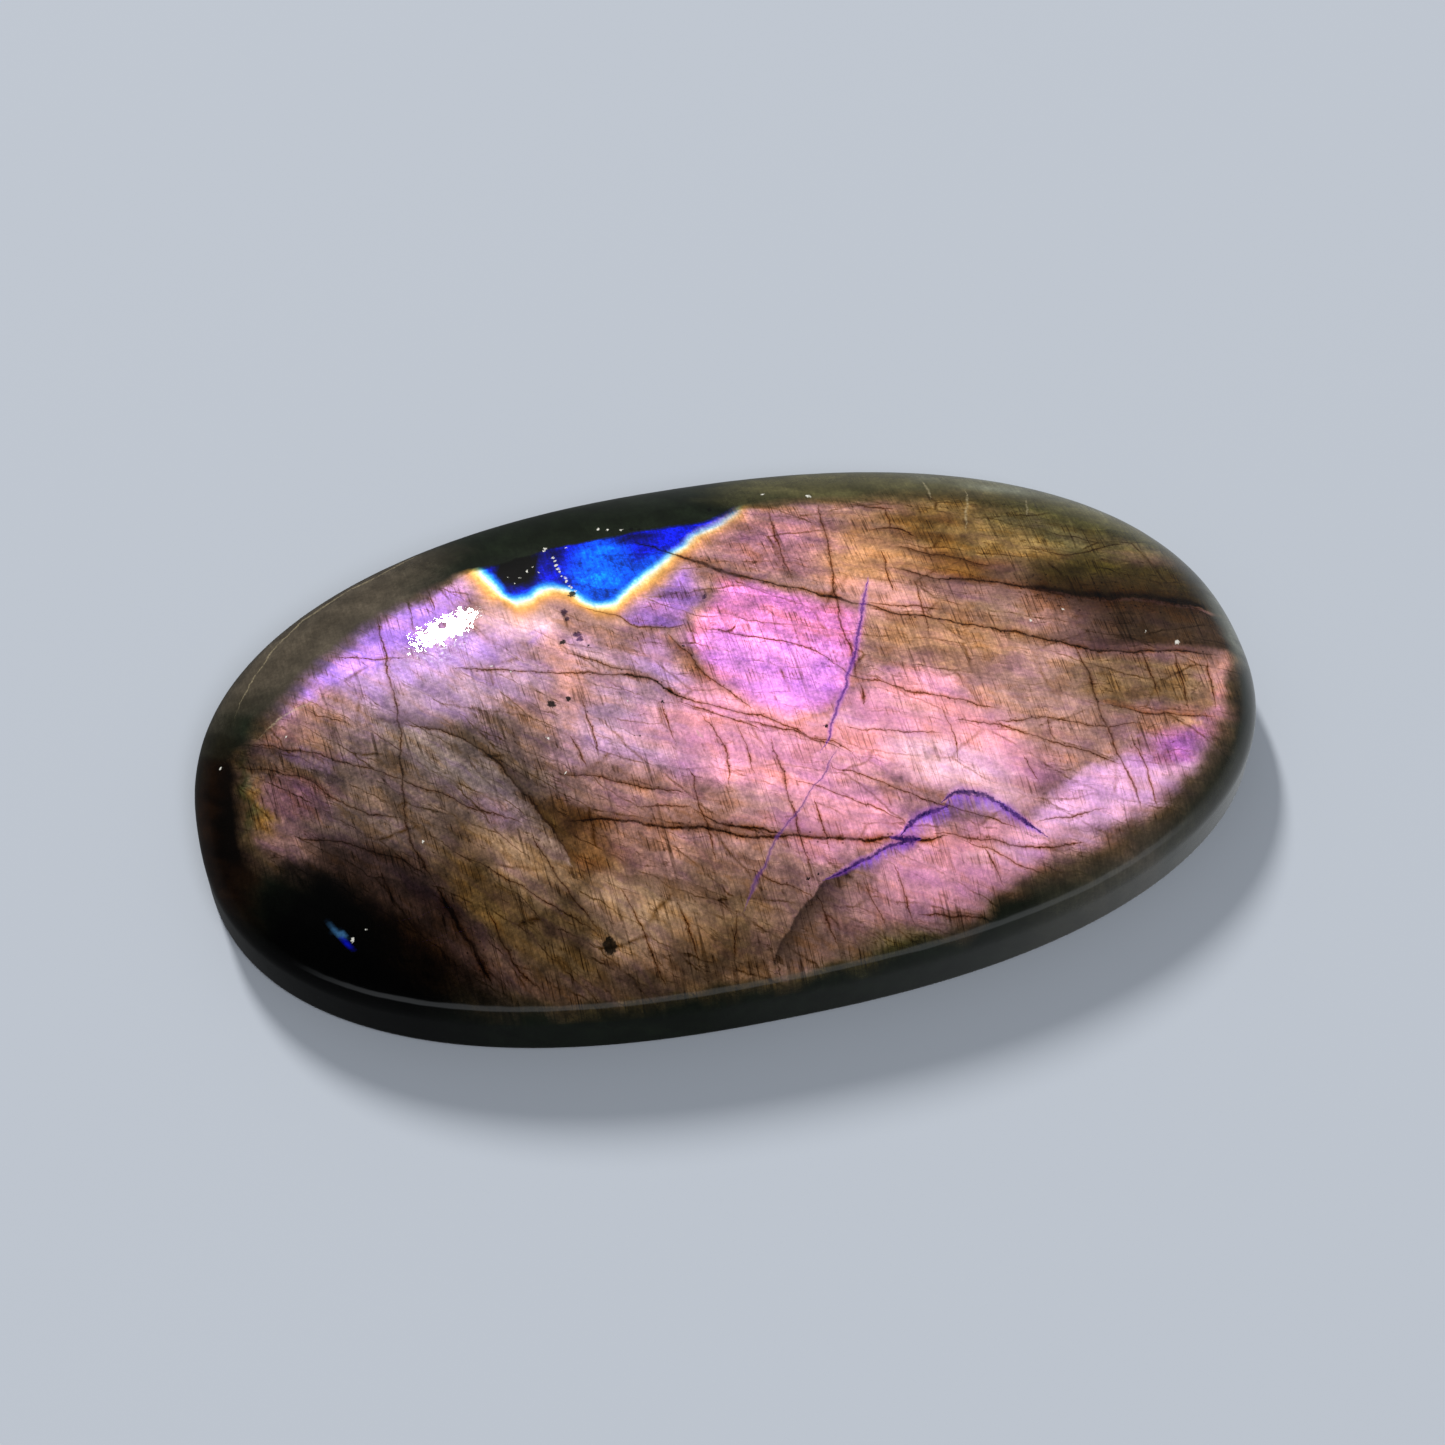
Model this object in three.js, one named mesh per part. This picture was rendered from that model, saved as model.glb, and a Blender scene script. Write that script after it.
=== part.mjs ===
// A large labradorite cabochon: one polished stone with a low dome, an upright girdle and a flat back.
// Millimetres, +Z up. The origin is the middle of the flat back, and +X runs along the stone.
import * as THREE from 'three';

// Driving dimensions
const LENGTH = 70;
const WIDTH = 38.6;
const HEIGHT = 10.5;
const GIRDLE_HEIGHT = 3.4; // top of the nearly upright wall
const BACK_BEVEL = 0.5; // the edge round the flat back is broken by this much
const DOME_POWER = 0.9; // 1 is an elliptical dome, and less makes its shoulder fuller

// The oval, before it is scaled to the length and the width
const OVAL_POWER = 2.32; // 2 is an ellipse, and more fills out its four quarters
const OVAL_RATIO = 0.55; // width to length

// How far a hand-cut girdle wanders from that oval, as shares of the radius
const END_TAPER = -0.007; // one end is a little narrower than the other
const END_POINT = 0.007; // the ends come to a slight point, turn about
const LEAN = -0.013; // the oval leans over sideways
const SIDE_FLAT = -0.008; // one long side is flatter than the other

// Facets
const STEPS_ROUND = 120;
const DOME_RINGS = 20;

// A point of the unscaled oval, where angle runs round from +X to +Y.
function ovalPoint(angle) {
  const along = Math.cos(angle);
  const across = Math.sin(angle);
  const fill = (Math.abs(along) ** OVAL_POWER + Math.abs(across) ** OVAL_POWER) ** (-1 / OVAL_POWER);
  const ends = END_TAPER * along + END_POINT * Math.cos(3 * angle);
  const sides = LEAN * Math.sin(2 * angle) + SIDE_FLAT * Math.sin(3 * angle);
  const radius = fill * (1 + ends + sides);
  return new THREE.Vector2(radius * along, radius * across * OVAL_RATIO);
}

// The girdle's outline: the oval, centred and scaled to the stone's length and width.
function makeGirdle() {
  const box = new THREE.Box2();
  for (let step = 0; step < STEPS_ROUND; step += 1) {
    box.expandByPoint(ovalPoint((2 * Math.PI * step) / STEPS_ROUND));
  }
  const middle = box.getCenter(new THREE.Vector2());
  const size = box.getSize(new THREE.Vector2());
  const scale = new THREE.Vector2(LENGTH / size.x, WIDTH / size.y);
  return (angle) => ovalPoint(angle).sub(middle).multiply(scale);
}

// The section from the middle of the back to the crown. Its first number is a share of the girdle's radius.
function makeSection() {
  const bevelShare = BACK_BEVEL / (WIDTH / 2);
  const section = [
    new THREE.Vector2(0, 0),
    new THREE.Vector2(1 - bevelShare, 0),
    new THREE.Vector2(1, BACK_BEVEL),
    new THREE.Vector2(1, GIRDLE_HEIGHT),
  ];
  for (let ring = 1; ring < DOME_RINGS; ring += 1) {
    const angle = (Math.PI / 2) * (ring / DOME_RINGS);
    const rise = Math.sin(angle) ** DOME_POWER;
    section.push(new THREE.Vector2(Math.cos(angle), GIRDLE_HEIGHT + (HEIGHT - GIRDLE_HEIGHT) * rise));
  }
  section.push(new THREE.Vector2(0, HEIGHT));
  return section;
}

// The section is turned into a round stone of radius 1, which is then spread out to the girdle's outline.
function makeStone() {
  const geometry = new THREE.LatheGeometry(makeSection(), STEPS_ROUND);
  geometry.rotateX(Math.PI / 2);
  const girdlePoint = makeGirdle();
  const position = geometry.getAttribute('position');
  for (let vertex = 0; vertex < position.count; vertex += 1) {
    const x = position.getX(vertex);
    const y = position.getY(vertex);
    const spread = girdlePoint(Math.atan2(y, x)).multiplyScalar(Math.hypot(x, y));
    position.setXY(vertex, spread.x, spread.y);
  }
  geometry.computeVertexNormals();
  return geometry;
}

const labradorite = new THREE.MeshStandardMaterial({ color: '#8a6f74', roughness: 0.12, metalness: 0 });

const stone = new THREE.Mesh(makeStone(), labradorite);
stone.name = 'cabochon';

const group = new THREE.Group();
group.add(stone);

export default group;
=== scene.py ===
import math
import bpy
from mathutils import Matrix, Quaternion, Vector


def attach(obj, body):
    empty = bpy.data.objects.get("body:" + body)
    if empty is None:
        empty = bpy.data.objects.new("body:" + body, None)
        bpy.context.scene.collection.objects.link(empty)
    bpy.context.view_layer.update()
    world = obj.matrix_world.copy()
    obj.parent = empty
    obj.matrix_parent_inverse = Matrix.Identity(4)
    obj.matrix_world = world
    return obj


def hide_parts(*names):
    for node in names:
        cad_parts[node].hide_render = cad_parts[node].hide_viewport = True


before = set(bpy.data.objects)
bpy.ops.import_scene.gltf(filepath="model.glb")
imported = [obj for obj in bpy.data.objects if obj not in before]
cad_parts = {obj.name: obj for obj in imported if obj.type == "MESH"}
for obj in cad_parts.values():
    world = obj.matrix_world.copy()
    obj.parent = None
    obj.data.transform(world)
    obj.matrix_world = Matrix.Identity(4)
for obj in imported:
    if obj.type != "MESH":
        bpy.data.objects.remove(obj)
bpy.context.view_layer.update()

# The stone lies on its flat back, with +X along it, +Y across it and +Z up out of the dome.
# Mesh and lights are in metres. The markings are drawn in millimetres, seen from above.
millimetre = 0.001
scene = bpy.context.scene


# The camera looks down on the dome from the photograph's angle.
cameraSetup = {
    "target": (-0.00027, 0.00024, 0.005),
    "azimuth": -12.3,  # degrees round from the stone's near side
    "elevation": 60.0,  # degrees above the table
    "distance": 0.22,
    "lens": 83.88,
    "sensor": 36.0,
}


def placeCamera(setup):
    turn = math.radians(setup["azimuth"])
    rise = math.radians(setup["elevation"])
    back = Vector((math.sin(turn) * math.cos(rise), -math.cos(turn) * math.cos(rise), math.sin(rise)))
    lens = bpy.data.cameras.new("camera")
    lens.sensor_fit = "HORIZONTAL"
    lens.sensor_width = setup["sensor"]
    lens.lens = setup["lens"]
    lens.clip_start = 0.005
    lens.clip_end = 20.0
    camera = bpy.data.objects.new("camera", lens)
    camera.location = Vector(setup["target"]) + back * setup["distance"]
    camera.rotation_euler = (math.pi / 2 - rise, 0.0, turn)
    scene.collection.objects.link(camera)
    scene.camera = camera


placeCamera(cameraSetup)
print("camera placed")


# Small helpers for nodes.
def feed(tree, value, socket):
    # a socket is linked, anything else becomes the socket's own value
    if isinstance(value, bpy.types.NodeSocket):
        tree.links.new(value, socket)
    else:
        socket.default_value = value


def addNode(tree, kind, inputs=None, **settings):
    node = tree.nodes.new(kind)
    for name, value in settings.items():
        setattr(node, name, value)
    for name, value in (inputs or {}).items():
        feed(tree, value, node.inputs[name])
    return node


def calc(tree, operation, first, second=None, third=None, clamp=False):
    node = addNode(tree, "ShaderNodeMath", operation=operation, use_clamp=clamp)
    for socket, value in zip(node.inputs, (first, second, third)):
        if value is not None:
            feed(tree, value, socket)
    return node.outputs[0]


def calcVector(tree, operation, first, second=None, scale=None):
    node = addNode(tree, "ShaderNodeVectorMath", operation=operation)
    feed(tree, first, node.inputs[0])
    if second is not None:
        feed(tree, second, node.inputs[1])
    if scale is not None:
        feed(tree, scale, node.inputs["Scale"])
    return node.outputs["Value"] if operation in ("LENGTH", "DOT_PRODUCT", "DISTANCE") else node.outputs[0]


def split(tree, vector):
    return addNode(tree, "ShaderNodeSeparateXYZ", {0: vector}).outputs


def join(tree, x, y, z=0.0):
    return addNode(tree, "ShaderNodeCombineXYZ", {0: x, 1: y, 2: z}).outputs[0]


def inPlan(tree, point):
    # the point with its height taken off
    return calcVector(tree, "MULTIPLY", point, (1.0, 1.0, 0.0))


def fade(tree, value, none, full, smooth=True):
    # 0 where value is at none, 1 where it is at full
    node = addNode(tree, "ShaderNodeMapRange", clamp=True)
    node.interpolation_type = "SMOOTHSTEP" if smooth else "LINEAR"
    feed(tree, value, node.inputs["Value"])
    feed(tree, none, node.inputs["From Min"])
    feed(tree, full, node.inputs["From Max"])
    return node.outputs["Result"]


def remap(tree, value, low, high, toLow, toHigh):
    node = addNode(tree, "ShaderNodeMapRange", clamp=True)
    for name, number in (("Value", value), ("From Min", low), ("From Max", high), ("To Min", toLow),
                         ("To Max", toHigh)):
        feed(tree, number, node.inputs[name])
    return node.outputs["Result"]


def blendColour(tree, amount, under, over, way="MIX"):
    node = addNode(tree, "ShaderNodeMix", data_type="RGBA", blend_type=way)
    feed(tree, amount, node.inputs[0])
    feed(tree, under, node.inputs[6])
    feed(tree, over, node.inputs[7])
    return node.outputs[2]


def addNoise(tree, point, scale, detail=2.0, rough=0.5, flat=True):
    # flat noise is the same at every height, so that it costs less
    node = addNode(tree, "ShaderNodeTexNoise", noise_dimensions="2D" if flat else "3D")
    for name, value in (("Vector", point), ("Scale", scale), ("Detail", detail), ("Roughness", rough)):
        feed(tree, value, node.inputs[name])
    return node


def curveThrough(tree, value, points, straight=False):
    # a Float Curve node through points of (value, result), level beyond its ends
    node = tree.nodes.new("ShaderNodeFloatCurve")
    mapping = node.mapping
    mapping.use_clip = False
    results = [result for _, result in points]
    mapping.clip_min_x = -99.0
    mapping.clip_max_x = points[-1][0]
    mapping.clip_min_x = points[0][0]
    mapping.clip_min_y = min(results) - 1.0
    mapping.clip_max_y = max(results) + 1.0
    mapping.extend = "HORIZONTAL"
    line = mapping.curves[0]
    for _ in points[2:]:
        line.points.new(*points[0])
    for knot, place in zip(line.points, points):
        knot.location = place
    for knot in line.points:
        knot.handle_type = "VECTOR" if straight else "AUTO_CLAMPED"
    mapping.update()
    feed(tree, value, node.inputs["Value"])
    return node.outputs["Value"]


def tone(code):
    # a colour written the usual way, as the linear values that nodes take
    parts = [int(code[place:place + 2], 16) / 255 for place in (1, 3, 5)]
    linear = [part / 12.92 if part <= 0.04045 else ((part + 0.055) / 1.055) ** 2.4 for part in parts]
    return tuple(linear) + (1.0,)


# The markings, in millimetres seen from above.
tones = {
    "base": "#98706a",
    "ash": "#604e46",
    "paleAsh": "#7c6c66",
    "lilacGrey": "#a8889e",
    "violet": "#ba88ec",
    "paleLilac": "#c69cde",
    "blush": "#f6c4cc",
    "mauve": "#b48cb8",
    "lilacPink": "#d49cc8",
    "greyPink": "#b48ea8",
    "dimBrown": "#30221e",
    "dullRose": "#604246",
    "umber": "#190c04",
    "black": "#010101",
    "moss": "#4c3a24",
    "darkOlive": "#3a2c14",
    "golden": "#6a5020",
    "rust": "#6b4822",
    "earth": "#42290f",
    "loam": "#241a04",
    "peat": "#302804",
    "tanRose": "#a08064",
    "hazel": "#7e6246",
    "rosewood": "#b68a80",
    "rose": "#92646c",
    "peach": "#d89c94",
    "pink": "#ea9eb6",
    "snowPink": "#fcc4d4",
    "magenta": "#f49cf0",
    "hotPink": "#e686c4",
    "orchid": "#9468b0",
    "purple": "#a26098",
    "orchidWhite": "#ffc0ec",
    "tan": "#ba8660",
    "clay": "#a87c5e",
    "khaki": "#7a6038",
    "ochre": "#8c5e28",
    "bronze": "#64441c",
    "olive": "#5a5030",
    "amber": "#b0682c",
    "iris": "#7c50dc",
    "leaf": "#34421c",
    "bodyDark": "#0f150c",
    "bodyOlive": "#464228",
    "bodyGrey": "#433c32",
    "bodyMoss": "#323024",
    # painted sheen: the pale light the far and right rims mirror, over the body's own paler grey
    "paleBodyAndSheen": "#7c8074",
    "royal": "#0410b0",
    "steel": "#3c6c98",
    "azure": "#0048d0",
}

# soft patches of the flash: tone, centre, radii, turn in degrees, how much of the radius is soft, strength
flashPatches = [
    ("ash", (-20, -3), (13, 9), -20, 0.5, 1.0),
    ("lilacGrey", (-17.5, 3.8), (9, 3.4), -8, 0.7, 1.0),
    ("violet", (-22, 9.3), (9.5, 3.2), 18, 0.6, 1.0),
    ("paleLilac", (-18, 6.4), (9, 2.4), 5, 0.8, 0.9),
    ("blush", (-12, 7.6), (3.6, 2.6), -20, 0.8, 1.0),
    ("greyPink", (-14, 4.6), (5.5, 1.6), -12, 0.8, 0.8),
    ("violet", (-11.4, 6.2), (1.1, 0.8), 0, 0.9, 0.6),
    ("greyPink", (-15.5, -6), (3.2, 1.4), -50, 0.9, 0.5),
    ("orchid", (-11.8, -12.6), (1.2, 1.8), 0, 0.9, 0.4),
    ("dimBrown", (-29.3, 2.2), (5.5, 2.6), -35, 0.7, 0.95),
    ("dullRose", (-28.3, -1.2), (3.6, 2.4), -35, 0.7, 0.95),
    ("golden", (-30.8, -0.8), (0.9, 4.2), 0, 0.8, 0.9),
    ("leaf", (-31.6, 0), (0.8, 4.5), 0, 0.8, 0.8),
    ("moss", (-15, -12.5), (11, 6), -45, 0.6, 1.0),
    ("dimBrown", (-24, -9.5), (10, 5.5), -38, 0.6, 1.0),
    ("umber", (-18.6, -16), (4.6, 1.8), -25, 0.9, 0.75),
    ("moss", (-17.8, -8.6), (3.4, 1.7), -40, 0.9, 0.45),
    ("umber", (-24.5, -12.5), (10, 5), -38, 0.7, 1.0),
    ("black", (-30, -9.5), (9, 5.5), -42, 0.5, 1.0),
    ("paleAsh", (-17.5, -2.6), (5.5, 1.6), -42, 0.8, 0.8),
    ("tanRose", (-15, -9.5), (5, 2.0), -48, 0.8, 0.8),
    ("golden", (-18.5, -10.5), (5, 2.0), -52, 0.9, 0.35),
    ("rust", (-10.5, -9.8), (6, 3.0), -35, 0.8, 0.9),
    ("earth", (-12.8, -6.6), (4.5, 1.8), -35, 0.7, 0.95),
    ("tanRose", (-8, -13.6), (5.5, 4), -20, 0.8, 1.0),
    ("hazel", (-3, -14.8), (6, 4.5), -20, 0.8, 0.95),
    ("golden", (-5, -16.8), (7, 2.0), -4, 0.9, 0.5),
    ("greyPink", (-6.5, -1.7), (6.5, 4.6), -25, 0.7, 0.95),
    ("greyPink", (-8, 3.6), (5, 2.6), -30, 0.8, 0.7),
    ("tanRose", (-7.6, 3.2), (2.6, 1.4), -30, 0.9, 0.4),
    ("mauve", (-3.8, 1.8), (3.4, 1.7), -55, 0.8, 0.9),
    ("lilacPink", (-3.3, 2.9), (2.6, 1.1), -62, 0.9, 0.8),
    ("peach", (-10.4, 3), (1.3, 6), 3, 0.8, 0.8),
    ("rose", (4.5, 10.8), (8, 3.6), -22, 0.6, 1.0),
    ("pink", (1.5, -4.6), (9, 5.8), -25, 0.6, 0.95),
    ("pink", (12, -6), (10, 5.5), -25, 0.6, 1.0),
    ("clay", (15, 0.8), (8.5, 4.2), -20, 0.7, 1.0),
    ("rosewood", (20, -4.5), (7.5, 5), -15, 0.7, 0.95),
    ("tan", (12, 8.0), (5.5, 4.6), -25, 0.7, 1.0),
    ("khaki", (20, 9), (11, 5.5), -18, 0.6, 1.0),
    ("bronze", (15.5, 9.6), (4, 2.0), -30, 0.7, 0.9),
    ("olive", (27, 8.6), (10, 4.6), -22, 0.6, 1.0),
    ("hazel", (26.5, -4.2), (8, 2.8), -8, 0.7, 1.0),
    ("peach", (11, 4.6), (4, 2.2), -30, 0.7, 0.95),
    ("snowPink", (13, -8.4), (6, 2.8), -28, 0.7, 1.0),
    ("greyPink", (-4.5, -4.6), (4.5, 1.6), -22, 0.9, 0.5),
    ("snowPink", (6.5, -4.4), (3.0, 1.0), -20, 0.9, 0.4),
    ("rosewood", (11, -3.8), (3.4, 1.3), -20, 0.9, 0.5),
    ("pink", (5, -10.8), (8, 3.0), -18, 0.7, 0.95),
    ("pink", (12, -14.6), (9, 3.0), 8, 0.7, 0.85),
    ("rosewood", (0, -8.8), (4.4, 1.7), -15, 0.9, 0.7),
    ("rosewood", (5.2, -6.6), (2.6, 1.2), -25, 0.9, 0.5),
    ("orchidWhite", (22.4, -11.6), (9.6, 2.3), 19, 0.6, 1.0),
    ("purple", (27.4, -9.0), (4.6, 1.6), 22, 0.9, 1.0),
    ("moss", (25.2, -4.7), (3.6, 1.6), -10, 0.9, 0.4),
    ("darkOlive", (28.4, 10.2), (3.8, 1.9), -35, 0.9, 0.45),
    ("snowPink", (14.4, -14.0), (2.4, 1.0), 10, 0.9, 0.4),
    ("clay", (30.2, -6.4), (3, 1.4), 5, 0.7, 1.0),
    ("peach", (32.4, -3.6), (1.1, 4.6), -18, 0.8, 0.6),
    ("pink", (31.3, -6.8), (1.1, 2.0), -30, 0.9, 0.7),
    ("amber", (0.9, -1.3), (1.0, 0.7), -45, 0.9, 0.8),
    ("ochre", (17.2, 6.2), (3.6, 1.8), -28, 0.8, 0.9),
    ("tanRose", (18.2, 2.4), (3, 1.4), -20, 0.9, 0.6),
    ("orchid", (-26.5, 1.6), (3.2, 0.8), -28, 0.9, 0.2),
    ("dimBrown", (-26.8, 0.6), (3.4, 2.0), -35, 0.9, 0.6),
    ("moss", (-7, -18.4), (11, 2.4), 2, 0.8, 0.9),
    ("olive", (6, -18.8), (9, 1.8), 4, 0.9, 0.9),
]

# the same for the body round the flash
bodyPatches = [
    ("bodyOlive", (22, 14), (22, 7.5), -18, 0.5, 1.0),
    ("bodyOlive", (9, 16), (9, 3.5), -5, 0.7, 0.7),
    ("bodyGrey", (-25, 12.5), (13, 6), 28, 0.6, 1.0),
    # pale patches on the far and right rims: partly the body's paler grey, partly painted sheen that the rims
    # mirror
    ("paleBodyAndSheen", (22, 15.5), (13, 3.4), -25, 0.9, 0.5),
    ("paleBodyAndSheen", (33.9, 0.5), (1.6, 4.5), -10, 0.8, 0.7),
    ("bodyMoss", (24, -14), (14, 4), 30, 0.7, 0.8),
    ("bodyGrey", (23.4, -14.6), (4.4, 1.7), 25, 0.9, 0.8),
    ("black", (-26, -11.5), (13, 7), -25, 0.6, 1.0),
    ("umber", (-33.5, -1), (3.4, 9), 0, 0.6, 1.0),
    ("black", (-32.8, -1), (2.2, 8), 0, 0.8, 0.9),
    ("steel", (-27.4, -10.4), (0.9, 0.22), -36, 0.9, 0.8),
    ("royal", (-27.0, -11.0), (0.7, 0.26), -36, 0.9, 0.9),
]

# and for the blue patch
bluePatches = [
    ("azure", (-6.3, 10.4), (2.8, 4.2), -16, 0.6, 1.0),
    ("azure", (-3.4, 10.4), (3.0, 0.9), 33, 0.9, 0.8),
    ("black", (-11.4, 12.5), (2.6, 2.8), -10, 0.5, 1.0),
    ("black", (-10.2, 13.2), (2.2, 1.0), 0, 0.9, 0.9),
    ("black", (-8.9, 12.5), (0.7, 2.6), -8, 0.8, 0.8),
    ("black", (-3.4, 13.0), (3.4, 0.9), -6, 0.8, 0.9),
]

# where the flash stops, as x, y and how softly; beyond it only the dark body shows
flashOutline = [
    (-31.8, 1, 0.8), (-31.6, 3, 1.0), (-30, 4.5, 1.4), (-28, 6.5, 1.4), (-25, 8.6, 1.4), (-22.5, 10, 1.2),
    (-19, 11.8, 1.2), (-15.5, 13, 0.8), (-13, 13.4, 0.3), (-7, 13.5, 0.25), (0, 13.6, 0.3), (4, 14.4, 0.9),
    (8, 14.0, 1.2), (12, 13.4, 1.6), (16, 13, 2.0), (20, 12.5, 2.2), (25, 10.5, 2.2), (29, 8, 1.8),
    (32, 6, 1.5), (33.6, 3, 1.3), (34, -0.5, 1.0), (33.5, -3.3, 0.9), (32.5, -5.8, 1.0),
    (31.4, -7.8, 1.1), (28.9, -10.9, 1.2), (25.2, -13.5, 1.4), (21, -15.1, 1.5), (18, -15.9, 1.5),
    (15, -16.6, 1.0), (12, -17.9, 0.8), (8, -18.5, 0.8), (0, -18.9, 0.7), (-10, -18.6, 0.8),
    (-16, -17.5, 1.2), (-20, -15.8, 2.0), (-23.5, -13.3, 2.6), (-26.5, -10, 3.0), (-29.3, -7, 2.4),
    (-31.2, -4.5, 1.4), (-31.8, -2, 0.8),
]

# cracks in the flash: half width, then the points of the path; first the bold ones
boldCracks = [
    (0.07, [(-4, 13), (-2.8, 12.3), (-1.6, 11.3), (-0.9, 10.8), (0.5, 9.6), (2.2, 8.3), (4, 7.3),
            (6, 6.2), (8.3, 4.9), (9.9, 4.1), (12.5, 2.8), (16, 1.5), (20, 0), (23, -1.3), (25, -1.9),
            (28.5, -2.1), (32.5, -2.5)]),
    (0.19, [(-1.6, 11.3), (-0.9, 10.8), (0.5, 9.6), (2.2, 8.3), (4, 7.3)]),
    (0.12, [(6.4, 6), (7.4, 5.4), (8.6, 4.8), (9.9, 4.1)]),
    (0.12, [(-6.6, 2.2), (-5.3, 1.6), (-3.6, 0.1), (-2.4, -0.8)]),
    (0.10, [(15, 5.4), (17.8, 4.8), (20, 4), (22.5, 3.1), (25, 2.4), (29, 1.9), (32.6, 1.1)]),
    (0.4, [(20.5, 3.9), (22.5, 3.2), (25, 2.6), (29, 2.1), (32.8, 1.4)]),
    (0.09, [(-12, -7.2), (-9, -7.9), (-6.3, -8.9), (-3.5, -9.6), (-1, -10.7), (2, -11.2), (5, -11.9),
            (8, -12.5), (11.5, -12.9)]),
    (0.09, [(-4, -8.2), (-2.5, -9.5), (0, -10.4), (1.5, -11)]),
    (0.16, [(-18.4, -16), (-19.2, -13.6), (-20, -11.4), (-20.6, -9.5)]),
]
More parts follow.
